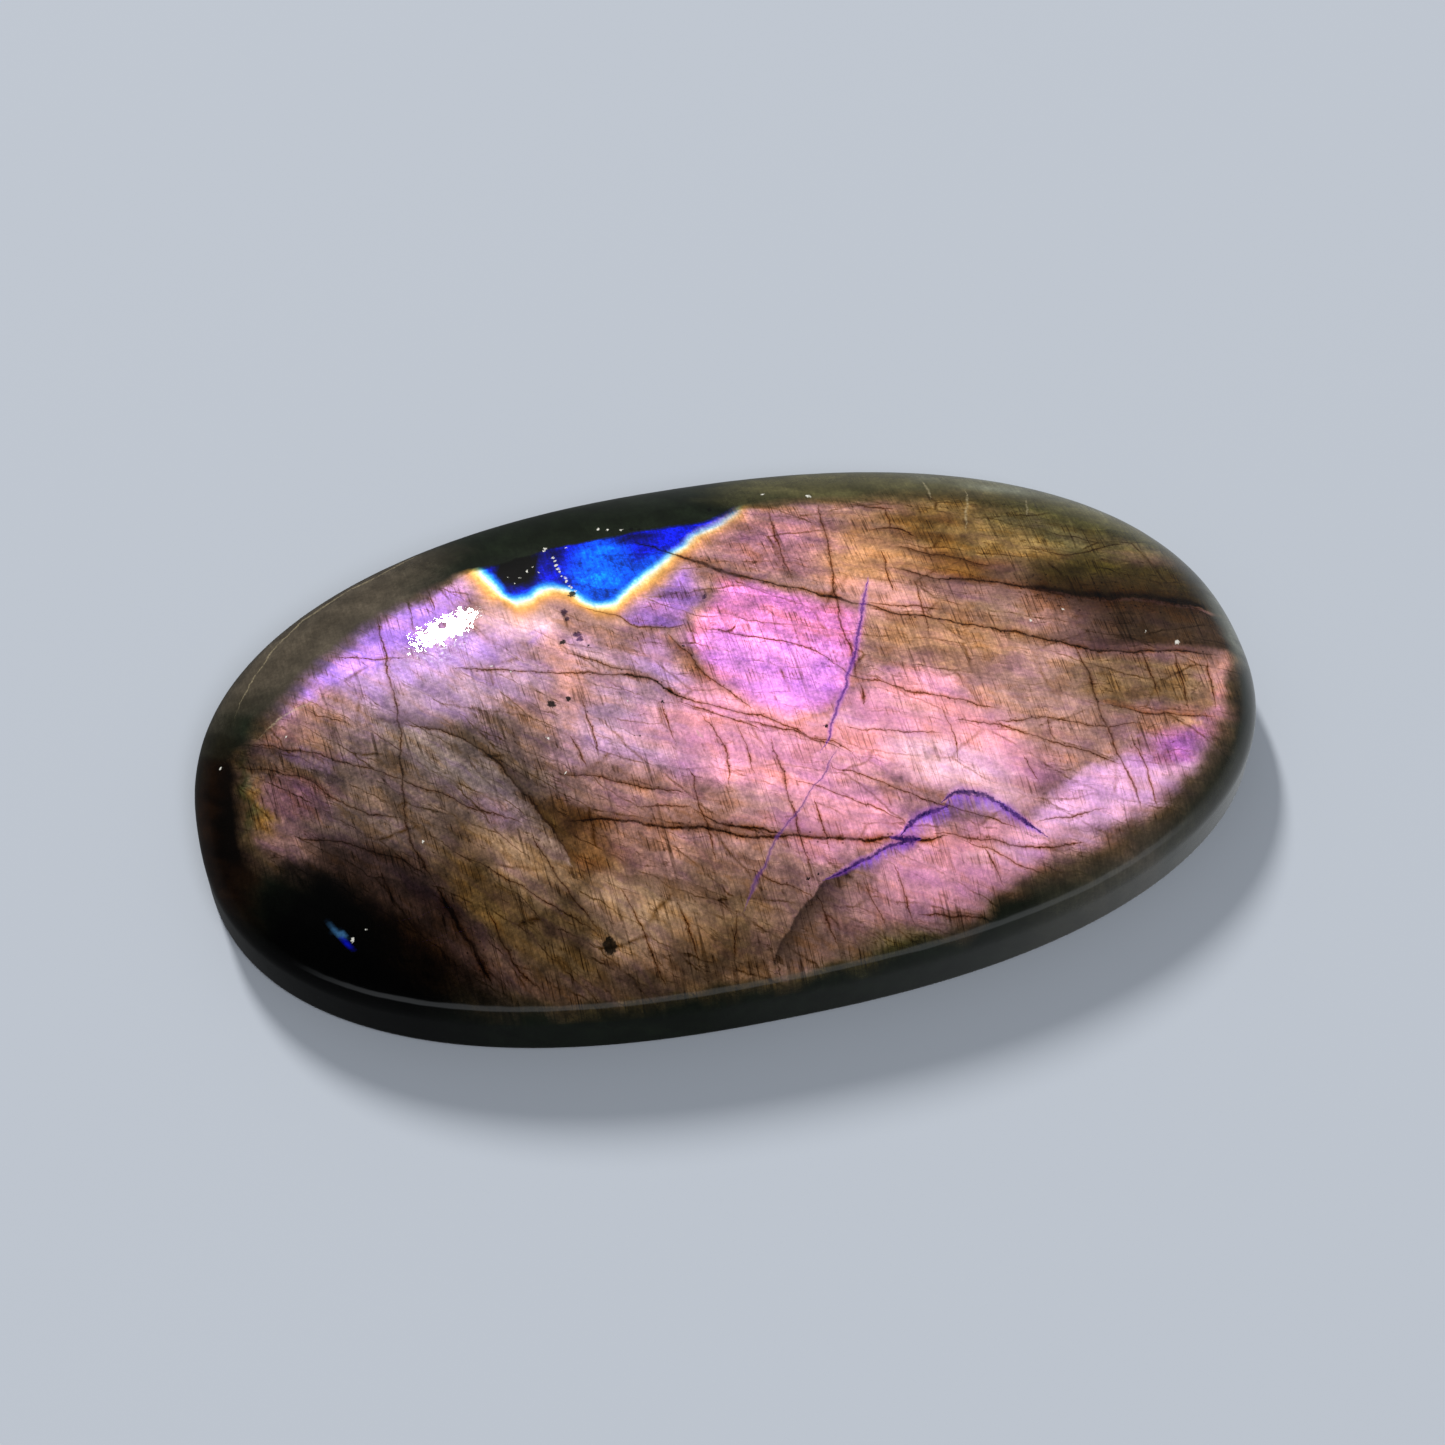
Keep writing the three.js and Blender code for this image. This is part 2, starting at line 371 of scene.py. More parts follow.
fineCracks = [
    (0.08, [(-22.0, 2.6), (-19, 1.2), (-16.2, -1), (-14.5, -4.2), (-13, -7.5), (-12.3, -9.8)]),
    (0.05, [(12.3, 6.8), (15, 5.4), (16.5, 5.1)]),
    (0.05, [(10, 4.2), (12, 3.7), (15, 2.7)]),
    (0.06, [(1.3, -2.3), (0, -0.8), (-1.3, 1), (-2.2, 3), (-3, 4.7)]),
    (0.06, [(-8.2, 8.2), (-6.5, 7), (-5.8, 6.7), (-4.6, 5.4), (-3.5, 5.1), (-1.5, 4.8)]),
    (0.055, [(-17, 5.3), (-14.5, 4.6), (-12, 3.7), (-8, 2.5), (-5.3, 1.6), (-3.6, 0.1), (-1, -1.6), (2, -3.2),
             (4, -4.7), (6.5, -6.2), (7.2, -7.2)]),
    (0.06, [(-9.8, 4.7), (-7.3, 3), (-5.5, 2)]),
    (0.05, [(-3.4, -0.6), (-1, -2.2), (1.5, -3.9)]),
    (0.05, [(0.5, -3), (3.5, -4.5), (6.3, -6.3)]),
    (0.05, [(-1, 4.7), (0.5, 3.9), (3, 2.7), (6, 1.1), (8, -1), (10, -2.2), (13, -3.5), (16.7, -5.1)]),
    (0.06, [(9.5, -1.9), (11, -2.7), (13, -3.5)]),
    (0.08, [(0.3, 3.8), (0.9, 3.9), (1.3, 4.2)]),
    (0.07, [(13, 8.6), (16, 7.2), (17.5, 6.5), (19, 5.7)]),
    (0.07, [(11, 13), (14, 12)]),
    (0.06, [(11.7, 10.3), (14, 9.8), (15, 8.9)]),
    (0.06, [(22.3, 6.9), (24.5, 6.1), (28.5, 6.9)]),
    (0.05, [(-7.5, -7.4), (-5.5, -7.7), (-4, -8.2)]),
    (0.05, [(-12, -4), (-9, -5), (-6.5, -6.2), (-4.3, -7)]),
    (0.04, [(5, -7), (8, -8.8), (11, -10.7), (14, -12), (16, -13)]),
    (0.035, [(2.4, -7.4), (6.5, -9.8), (9, -11.6)]),
    (0.035, [(6.5, -4.6), (9, -5.4), (13, -6.2)]),
    (0.05, [(13.5, -5.4), (16, -6), (19.5, -7.8), (23.8, -9.9)]),
    (0.04, [(16, -5.9), (20, -6.3), (23.5, -7.2), (26, -7.2)]),
    (0.05, [(23.7, -5.7), (26.5, -6.6), (31, -7)]),
    (0.05, [(10.5, -12.5), (13, -13.2), (17, -14.3), (20, -14.4)]),
    (0.04, [(12, -13), (15.5, -15), (17.2, -15.9)]),
    (0.04, [(17, -12.8), (22, -12.5)]),
    (0.05, [(8.5, -16.9), (11, -17.4), (13.5, -17.9)]),
    (0.04, [(-1.5, -12.6), (1, -14.2), (2.4, -15)]),
    (0.05, [(-32.3, 3), (-29.8, 1.7), (-27.3, 0), (-25, -2.8), (-22, -4.5)]),
    (0.05, [(-30.5, 4), (-27, 2), (-24, 0), (-20, -3), (-17, -5.4), (-14.3, -6.8)]),
    (0.04, [(-26.5, 5), (-24.3, 3.3)]),
    (0.04, [(-24.5, 8.9), (-21, 7.4), (-19.5, 7.1)]),
    (0.06, [(-29, -3.5), (-25, -5.6), (-22.5, -7.3), (-20.7, -8.8)]),
    (0.05, [(-18.5, -8), (-15.5, -10.8), (-12.5, -13.5), (-11, -15)]),
    (0.05, [(-20.6, -9.5), (-21.8, -5), (-21.6, -3), (-21, 3), (-21.05, 8), (-20.9, 11.8)]),
    (0.035, [(-18.9, 9), (-18.9, 12.5)]),
    (0.035, [(-17.4, 10.5), (-17.4, 13)]),
    (0.05, [(5.9, 6.4), (5.65, 11.5), (5.75, 13.8)]),
    (0.06, [(8.3, -2), (8.2, 3), (8.8, 9.5), (9.2, 13.5)]),
    (0.06, [(-15.3, -17.3), (-16.5, -15.5), (-17.9, -11.5)]),
    (0.05, [(-11.3, -14.5), (-13, -11), (-14.3, -7.5)]),
    (0.05, [(-23.3, -10.2), (-24, -7.5)]),
    (0.04, [(-9.9, -4.2), (-10.5, -1.5)]),
    (0.04, [(-9.1, -3.5), (-9.2, 1.5)]),
    (0.035, [(-4.2, -3.8), (-4.4, -0.5)]),
    (0.04, [(-1.5, -7.3), (-1.1, -5.5), (-2.2, -1.5)]),
    (0.04, [(-3.2, -12), (-3.7, -5.2)]),
    (0.035, [(0.3, -7), (0, -3)]),
    (0.045, [(2.5, -14.3), (2.1, -9), (1.9, -4.2)]),
    (0.04, [(3.9, -12.5), (3.6, -9)]),
    (0.04, [(-7.8, -18), (-9, -14), (-9.5, -12)]),
    (0.04, [(-5.5, -17.5), (-6.2, -13.5)]),
    (0.05, [(-3.4, -17.8), (-2.7, -15)]),
    (0.05, [(3.2, -17.8), (2.4, -14.8)]),
    (0.04, [(6.4, -17.6), (5.4, -14.2)]),
    (0.04, [(8.2, -17.5), (7.6, -14)]),
    (0.04, [(14.3, -16.2), (13.4, -13.6)]),
    (0.06, [(24.4, -12.7), (23.8, -10), (23.2, -5.5), (22.9, -1)]),
    (0.045, [(25.5, -12.8), (24.8, -7.8)]),
    (0.05, [(27.4, -6), (27.1, -2)]),
    (0.045, [(29.2, -6.5), (29.3, -2.2)]),
    (0.045, [(31, -6.5), (31.6, -2.6)]),
    (0.035, [(13, -8.5), (13.4, -6.4), (13, -4)]),
    (0.035, [(17.9, -10.3), (17.5, -8.5)]),
    (0.035, [(19.7, -7.8), (19.7, -6)]),
    (0.07, [(8.2, -3.3), (8.4, -1.8)]),
    (0.04, [(12, 4.6), (12.2, 8.5)]),
    (0.04, [(13.6, 0.5), (13.6, 5.5)]),
    (0.04, [(13.2, 9.6), (13.3, 12.4)]),
]

# the blue patch lies above this line and to the right of its left arm
notchFloor = [
    (-13.2, 11), (-12.6, 9.9), (-12.1, 9.4), (-11.4, 9.4), (-10.4, 9.85), (-9.6, 10), (-8.9, 9.75), (-8.2, 9),
    (-7.6, 8.3), (-6.9, 7.7), (-6.2, 7.6), (-5.3, 8.1), (-3.5, 9.3), (-2, 10.3), (-0.5, 11.4), (1, 12.4),
    (2.5, 13.1), (4, 14.2), (5, 16.5), (7, 20),
]
notchArm = [(-14.1, 13.3), (-12.6, 9.9)]

# zones with edges of their own: tone, strength, then each edge as side, softness and path; side 1
# keeps what lies towards +Y of the path, or towards +X where the path runs across the stone, and
# -1 keeps the other side
crackA = [(-1, 10.9), (0.5, 9.6), (2.2, 8.3), (4, 7.3), (6, 6.2), (8.3, 4.9), (9.9, 4.1), (12.5, 2.8),
          (16, 1.5), (20, 0), (23, -1.3), (25, -1.9), (28.5, -2.1), (32.5, -2.5)]
crackE = [(15, 5.4), (17.8, 4.8), (20, 4), (22.5, 3.1), (25, 2.4), (29, 1.9), (32.8, 1.1)]
stoneEdge = [(2.2, -3.4), (1.3, -2.3), (0, -0.8), (-1.3, 1), (-2.2, 3), (-3, 4.7), (-3.4, 6)]
irisLine = [(5.6, -5.4), (6.4, -4.3), (7.8, -1.8), (9.2, 0.7), (10.4, 3.7), (11.2, 6.3)]
lowerEdge = [(-3, -3.4), (2.5, -3.4), (5, -3.6), (7, -3.2), (12, -2)]
zones = [
    ("orchid", 0.95, [(1, 0.25, [(-6.5, 7), (-5.8, 6.7), (-4.6, 5.4), (-3.5, 5.1), (-1.5, 4.7), (1, 4.7)]),
                      (-1, 1.5, [(-1.4, 4.4), (-0.8, 5.6), (0.3, 7.0), (0.2, 9), (0.4, 11)]),
                      (-1, 1.2, [(-6.7, 6.4), (-6, 8.0), (-2, 9.6), (2, 11.6)])]),
    ("hotPink", 0.9, [(1, 1.6, stoneEdge), (-1, 1.4, crackA), (-1, 1.6, irisLine), (1, 1.4, lowerEdge),
                      (1, 1.8, [(-2.4, 3), (-2.0, 4.6), (-0.8, 6), (0.2, 7.2), (0.8, 9)])]),
    ("magenta", 0.9, [(1, 1.8, stoneEdge), (-1, 2.6, [(-4, 5.4), (-1, 5.2), (1.5, 4.9), (4, 3.9),
                                                      (7, 2.4), (9, 0.8)]),
                       (-1, 1.8, irisLine), (1, 1.6, lowerEdge)]),
    ("peat", 0.95, [(1, 0.2, crackE), (-1, 2.2, [(16, 6.6), (22, 7.0), (32, 6.6)]),
                     (1, 4.0, [(18.5, -1), (19, 9)])]),
    ("loam", 0.93, [(-1, 0.3, crackE), (1, 0.8, crackA), (1, 7.5, [(19.5, -4), (19.5, 6)])]),
    ("hazel", 0.35, [(-1, 0.15, [(-1.2, -18.2), (-0.3, -17.2), (1.5, -15.4), (3.5, -14.1), (6.5, -13.2),
                                 (9.8, -12.6)]),
                    (-1, 5.0, [(5.5, -19), (7.5, -12)])]),
]

# shading that is crisp on its path and fades out on one side of it: tone, side, width, then the path
shades = [
    ("darkOlive", 1, 1.9, [(-22.8, 3), (-19, 1.2), (-16.2, -1), (-15.4, -2.4)]),
    ("darkOlive", 1, 2.2, [(-12.1, -10.5), (-13, -7.5), (-14.5, -4.2), (-16.2, -1)]),
    ("paleAsh", -1, 3.0, [(-22.8, 3), (-19, 1.2), (-16.2, -1), (-15.4, -2.4)]),
    ("paleAsh", -1, 3.0, [(-12.1, -10.5), (-13, -7.5), (-14.5, -4.2), (-16.2, -1)]),
    ("amber", -1, 1.2, [(1.3, -2.3), (0, -0.8), (-1.3, 1), (-2.2, 3), (-3, 4.7)]),
    ("earth", 1, 2.2, [(-12, -7.2), (-9, -7.9), (-6.3, -8.9), (-3.5, -9.6), (-1, -10.7), (2, -11.2),
                       (5, -11.9)]),
    ("earth", -1, 1.6, [(-10, -11), (-7, -12), (-4, -13.5), (-2.5, -15.5)]),
    ("earth", 1, 1.4, [(-12, -4), (-9, -5), (-6.5, -6.2), (-4.3, -7)]),
    ("earth", -1, 2.0, [(13, 6.6), (15, 5.4), (17.8, 4.8), (20, 4), (22.5, 3.1), (25, 2.4), (29, 1.9),
                        (32.6, 1.1)]),
    ("earth", 1, 2.2, [(17, 5), (20, 4), (22.5, 3.1), (25, 2.4), (29, 1.9), (32.6, 1.1)]),
    ("earth", -1, 1.6, [(12.8, 8.7), (16, 7.2), (17.5, 6.5), (19, 5.7)]),
    ("earth", 1, 1.6, [(20, 0), (23, -1.3), (25, -1.9), (28.5, -2.1), (32.5, -2.5)]),
    ("amber", 1, 0.8, [(23, -5.4), (26.5, -6.6), (31, -7)]),
    ("amber", -1, 0.7, [(2.5, -3.3), (4, -3.7), (5, -3.5), (7, -3.4)]),
    ("iris", -1, 1.1, [(4.5, -13.8), (6.5, -13.2), (9.8, -12.6)]),
    ("dimBrown", -1, 2.2, [(-1.2, -18.2), (-0.3, -17.2), (1.5, -15.4), (3.5, -14.1), (5.5, -13.5)]),
    ("iris", -1, 1.9, [(8, -12.5), (9.5, -11.4), (11.3, -11), (12.5, -10.4), (14.2, -10.7), (16, -12),
                       (17.6, -13.7)]),
    ("hazel", 1, 1.3, [(1, 9.3), (2.2, 8.3), (4, 7.3), (6, 6.2)]),
    ("ash", 1, 2.5, [(-32, 2), (-27, 0), (-25, -2.8), (-22, -4.5)]),
]
shadeStrength = {"paleAsh": 0.6, "darkOlive": 0.72, "earth": 0.6, "amber": 0.5, "hazel": 0.5, "ash": 0.5,
                 "dimBrown": 1.15, "iris": 0.75}
# the bands of the flash run down to the right, steeply at the left end and gently at the right one
flowPath = [(-35, 3), (-32, 0), (-20, -12), (-12, -20), (-5, -24.9), (0, -27.3), (10, -31.6), (20, -35.2),
            (35, -37.8)]

# fine violet lines: half width and path
violetLines = [
    (0.055, [(4.6, -6.2), (5.9, -4.3), (7.3, -1.8), (8.5, 0.7), (9.8, 3.7), (10.8, 6.3)]),
]
duskLines = [
    (0.045, [(-2.3, -15.2), (-1, -13.3), (0.7, -11.2), (2.3, -9.7), (4.3, -7.8), (6, -5.9)]),
]
archLines = [
    (0.16, [(7.8, -12.5), (8.9, -12.65), (9.8, -12.6)]),
    (0.10, [(8.2, -12.5), (9.3, -11.6), (10.5, -11.2), (11.8, -11)]),
    (0.12, [(11.3, -10.7), (12.8, -10.25), (14.2, -10.6), (15.4, -11.7), (16.6, -12.7), (17.8, -13.9)]),
    (0.06, [(3, -14.3), (6.5, -13.2), (9.8, -12.6)]),
]

# pale marks: healed cracks and scratches; the first two are partly painted glints, the light caught by a
# fracture near the left end and by the far-left rim
paleLinesAndGlints = [
    (0.05, [(-30.1, 4.1), (-28.9, 5), (-26.7, 5.7), (-25.9, 5.9)]),
    (0.05, [(-31.4, 6), (-30.6, 8), (-29.1, 10.1), (-28, 11.5), (-24.3, 14.1), (-21, 15.3), (-17.2, 16.8)]),
    (0.05, [(16.7, 12.5), (16.7, 14.8)]),
    (0.05, [(18.2, 9), (19.3, 13.3)]),
    (0.06, [(-2.3, -3.8), (-2.7, -2.9)]),
    (0.04, [(22.6, 10), (23.2, 12)]),
]

# specks: centre and radius; the bright ones are painted glints, where small pits catch the light
glintSpecks = [
    (-9.2, 13.8, 0.12), (-9, 12.8, 0.09), (-8.9, 12, 0.12), (-8.7, 11.4, 0.11), (-8.4, 10.8, 0.12),
    (-8.4, 10, 0.08), (-8.2, 9.4, 0.08), (-7.9, 8.5, 0.11), (-8, 13.5, 0.09), (-9.35, 13.6, 0.10),
    (-8.95, 12.4, 0.10), (-8.8, 11.7, 0.10), (-8.45, 10.5, 0.13), (-8.3, 9.75, 0.10), (-8.05, 8.8, 0.12),
    (-8.6, 11.0, 0.07), (-11.8, 11.2, 0.07), (-10.8, 12, 0.08), (-11.3, 11.6, 0.06), (-10.4, 12.2, 0.07),
    (-12.2, 11.9, 0.05), (-10.1, 11.6, 0.06), (-5.5, 14.8, 0.11), (-5, 14.5, 0.09), (-4.1, 14.15, 0.10),
    (8.7, 14.5, 0.18), (5.7, 15.5, 0.10), (-32.8, 3.3, 0.12), (-28.2, 3.6, 0.09), (-20.9, -6.3, 0.10),
    (20.5, 1.1, 0.09), (22.7, 1.7, 0.08), (29.8, -1.5, 0.18), (-26.4, -11.1, 0.12), (-25.5, -10.8, 0.08),
    (27.9, -0.5, 0.08), (-14.5, 4.9, 0.07), (-13.4, 4.1, 0.09), (-6.5, 0, 0.08), (-12, -1.4, 0.10),
    (-11.3, -4.1, 0.08),
]
duskSpecks = [(-9.15, 7.75, 0.26), (-9.1, 7.2, 0.18), (-8.65, 5.9, 0.26), (-8.6, 5.5, 0.20),
              (-0.1, 6.9, 0.16)]
darkSpecks = [
    (-8.4, 9.2, 0.28), (-11.2, 1.0, 0.28), (-10.1, 1.1, 0.18), (-9.6, 5.4, 0.20), (-8.1, 4.9, 0.09),
    (5.4, -4.5, 0.16), (-10.8, -15.3, 0.50), (2, 14.8, 0.18), (-3.5, 14.0, 0.14), (-2.9, 13.9, 0.12),
    (-6.7, -2.4, 0.07), (-6.3, -2.5, 0.07), (-2.1, 3.3, 0.09), (-4.3, -0.5, 0.08), (2.1, -13.9, 0.07),
    (2.9, -13.8, 0.07),
]


# How the markings are drawn with nodes.
hair = 0.0005  # a line's half width at its ends


def ovalDistance(tree, point, centre, radii, turn):
    # 1 on the oval, and less inside it
    lean = math.radians(turn)
    offset = calcVector(tree, "SUBTRACT", point, (centre[0], centre[1], 0.0))
    long = (math.cos(lean) / radii[0], math.sin(lean) / radii[0], 0.0)
    wide = (-math.sin(lean) / radii[1], math.cos(lean) / radii[1], 0.0)
    along = calcVector(tree, "DOT_PRODUCT", offset, long)
    across = calcVector(tree, "DOT_PRODUCT", offset, wide)
    square = calc(tree, "MULTIPLY", across, across)
    return calc(tree, "SQRT", calc(tree, "MULTIPLY_ADD", along, along, square))


def patchMask(tree, point, centre, radii, turn, soft, strength):
    # an oval with a soft edge
    far = ovalDistance(tree, point, centre, radii, turn)
    return calc(tree, "MULTIPLY", fade(tree, far, 1.0, 1.0 - soft), strength)


def addPatches(tree, point, colour, patches):
    for name, centre, radii, turn, soft, strength in patches:
        amount = patchMask(tree, point, centre, radii, turn, soft, strength)
        colour = blendColour(tree, amount, colour, tone(tones[name]))
    return colour


def wobble(tree, point, scale, detail, rough=0.5):
    # a vector that wanders either way, to bend straight work with
    noise = addNoise(tree, point, scale, detail, rough).outputs["Color"]
    return calcVector(tree, "SUBTRACT", noise, (0.5, 0.5, 0.5))


def bend(tree, point, first, firstAmount, second, secondAmount):
    moved = calcVector(tree, "ADD", point, calcVector(tree, "SCALE", first, scale=firstAmount))
    return calcVector(tree, "ADD", moved, calcVector(tree, "SCALE", second, scale=secondAmount))


def stretch(tree, first, second, scaleFirst, scaleSecond):
    return join(tree, calc(tree, "MULTIPLY", first, scaleFirst), calc(tree, "MULTIPLY", second, scaleSecond))


def acrossFlow(tree, parts):
    # how far a point is from one band line, so that noise can be stretched along the bands
    return calc(tree, "SUBTRACT", parts[1], curveThrough(tree, parts[0], flowPath))


def flashDepth(tree, point):
    # how far a point is inside the flash's outline, as a share of the outline's softness
    ratio = stoneShape["Oval Ratio"]
    knots = sorted((math.atan2(y / ratio, x), math.hypot(x, y / ratio), soft) for x, y, soft in flashOutline)
    first, last = knots[0], knots[-1]
    knots = [(last[0] - 2 * math.pi,) + last[1:]] + knots + [(first[0] + 2 * math.pi,) + first[1:]]
    x, y, _ = split(tree, point)
    stretched = calc(tree, "DIVIDE", y, ratio)
    turn = calc(tree, "ARCTAN2", stretched, x)
    square = calc(tree, "ADD", calc(tree, "POWER", x, 2.0), calc(tree, "POWER", stretched, 2.0))
    far = calc(tree, "SQRT", square)
    edge = curveThrough(tree, turn, [(angle, distance) for angle, distance, _ in knots])
    soft = curveThrough(tree, turn, [(angle, spread) for angle, _, spread in knots])
    return calc(tree, "DIVIDE", calc(tree, "SUBTRACT", edge, far), soft)


def storeTones(tree, geometry):
    # the soft tones are worked out once for each point of the mesh and kept as attributes
    place = tree.nodes.new("GeometryNodeInputPosition").outputs[0]
    point = calcVector(tree, "SCALE", place, scale=1.0 / millimetre)
    height = split(tree, point)[2]
    plan = inPlan(tree, point)
    drift = wobble(tree, plan, 0.23, 2.0)
    parts = split(tree, plan)
    shiver = wobble(tree, stretch(tree, parts[0], acrossFlow(tree, parts), 0.12, 0.7), 1.0, 3.0)
    bent = inPlan(tree, bend(tree, plan, drift, 2.4, shiver, 3.0))
    little = inPlan(tree, bend(tree, plan, drift, 1.0, shiver, 0.7))
    depth = calc(tree, "MINIMUM", flashDepth(tree, little), calc(tree, "MULTIPLY_ADD", height, 1.6, -6.8))
    for name, kind, value in (
            ("flashTone", "FLOAT_COLOR", addPatches(tree, bent, tone(tones["base"]), flashPatches)),
            ("bodyTone", "FLOAT_COLOR", addPatches(tree, bent, tone(tones["bodyDark"]), bodyPatches)),
            ("blueTone", "FLOAT_COLOR", addPatches(tree, little, tone(tones["royal"]), bluePatches)),
            ("flashDepth", "FLOAT", depth)):
        stored = addNode(tree, "GeometryNodeStoreNamedAttribute", {"Geometry": geometry, "Name": name},
                         data_type=kind, domain="POINT")
        feed(tree, value, stored.inputs["Value"])
        geometry = stored.outputs[0]
    return geometry


def runsAlong(path):
    return abs(path[-1][0] - path[0][0]) >= abs(path[-1][1] - path[0][1])


def turnPath(path):
    # a path that runs across the stone is turned, so that it too is a height over a run
    return sorted(path if runsAlong(path) else [(y, x) for x, y in path])


def packTracks(lines, room=1.5):
    # lines that lie one after another share a track, so that one pair of curves draws them all
    tracks = []
    for width, path in sorted(lines, key=lambda line: line[1][0][0]):
        for track in tracks:
            if track[-1][1][-1][0] + room < path[0][0]:
                track.append((width, path))
                break
        else:
            tracks.append([(width, path)])
    return tracks


def lineTracks(tree, parts, lines, reach, lead=0.5):
    # for each track, the signed distance from its lines and how wide they are there
    for along in (True, False):
        chosen = [(width, turnPath(path)) for width, path in lines if runsAlong(path) == along]
        run, side = (parts[0], parts[1]) if along else (parts[1], parts[0])
        for track in packTracks(chosen):
            centres = []
            widths = []
            for width, path in track:
                (firstX, firstY), (nextX, nextY) = path[:2]
                (beforeX, beforeY), (lastX, lastY) = path[-2:]
                centres.append((firstX - lead, firstY - lead * (nextY - firstY) / (nextX - firstX)))
                centres.extend(path)
                centres.append((lastX + lead, lastY + lead * (lastY - beforeY) / (lastX - beforeX)))
                taper = min(1.5, 0.3 * (lastX - firstX))
                full = width * reach
                widths += [(firstX, hair), (firstX + taper, full), (lastX - taper, full), (lastX, hair)]
            gap = calc(tree, "SUBTRACT", side, curveThrough(tree, run, centres))
            yield gap, curveThrough(tree, run, widths, True)


def drawLines(tree, parts, lines, reach):
    # 1 on a line, 0 at reach times its half width
    nearest = 0.0
    for gap, width in lineTracks(tree, parts, lines, reach):
        mask = fade(tree, calc(tree, "ABSOLUTE", gap), width, 0.0, False)
        nearest = calc(tree, "MAXIMUM", nearest, mask)
    return nearest


def drawShades(tree, parts, lines, crisp=0.10):
    # 1 beside a path on its shaded side, fading to 0 over the shade's width
    deepest = 0.0
    for side in (1, -1):
        chosen = [(width, path) for way, width, path in lines if way == side]
        for gap, width in lineTracks(tree, parts, chosen, 1.0):
            gap = calc(tree, "MULTIPLY", gap, float(side))
            mask = calc(tree, "MULTIPLY", fade(tree, gap, width, 0.0), fade(tree, gap, -crisp, crisp))
            mask = calc(tree, "MULTIPLY", mask, fade(tree, width, 0.02, 0.4))
            deepest = calc(tree, "MAXIMUM", deepest, mask)
    return deepest


def drawZone(tree, parts, edges, crisp=0.08):
    # 1 where a point is on the right side of every edge
    inside = 1.0
    for side, soft, path in edges:
        run, across = (parts[0], parts[1]) if runsAlong(path) else (parts[1], parts[0])
        gap = calc(tree, "SUBTRACT", across, curveThrough(tree, run, turnPath(path)))
        gap = calc(tree, "MULTIPLY", gap, float(side))
        inside = calc(tree, "MULTIPLY", inside, fade(tree, gap, -crisp, soft))
    return inside


def drawSpecks(tree, point, specks):
    # distance to the nearest speck, as a share of its radius
    nearest = 9.0
    for x, y, radius in specks:
        away = calcVector(tree, "DISTANCE", point, (x, y, 0.0))
        nearest = calc(tree, "MINIMUM", nearest, calc(tree, "DIVIDE", away, radius))
    return nearest


def drawNotch(tree, point):
    # signed distance inside the blue patch
    parts = split(tree, point)
    above = calc(tree, "SUBTRACT", parts[1], curveThrough(tree, parts[0], notchFloor))
    (topX, topY), (lowX, lowY) = notchArm
    slope = (lowY - topY) / (lowX - topX)
    long = math.hypot(slope, 1.0)
    offset = calcVector(tree, "SUBTRACT", point, (lowX, lowY, 0.0))
    beside = calcVector(tree, "DOT_PRODUCT", offset, (-slope / long, 1.0 / long, 0.0))
    return calc(tree, "SMOOTH_MIN", beside, calc(tree, "MULTIPLY", above, 0.8), 0.5)


def rampThrough(tree, value, stops):
    # a Color Ramp through stops of (value, colour code)
    low, high = stops[0][0], stops[-1][0]
    node = tree.nodes.new("ShaderNodeValToRGB")
    ramp = node.color_ramp
    for _ in stops[2:]:
        ramp.elements.new(0.5)
    for element, (place, code) in zip(ramp.elements, stops):
        element.position = (place - low) / (high - low)
    for element, (place, code) in zip(ramp.elements, stops):
        element.color = tone(code)
    feed(tree, remap(tree, value, low, high, 0.0, 1.0), node.inputs[0])
    return node.outputs["Color"]


# The stone's shape: an oval dome over a nearly upright girdle, with a flat back.
stoneShape = {
    "Length": 0.070,
    "Width": 0.0386,
    "Height": 0.0105,
    "Girdle Height": 0.0034,
    "Back Bevel": 0.0005,
    "Dome Power": 0.9,  # less makes the shoulder fuller
    "Oval Power": 2.32,  # 2 is an ellipse
    "Oval Ratio": 0.55,
    "End Taper": -0.007,
    "End Point": 0.007,
    "Lean": -0.013,
    "Side Flat": -0.008,
    "Polish Dip": 0.00002,  # how far the polish wanders inwards
    "Polish Scale": 90.0,
    "Ripple Dip": 0.00002,
    "Ripple Scale": 800.0,
}
stoneFacets = {"across": 197, "up": 15, "bevelShare": 0.4}


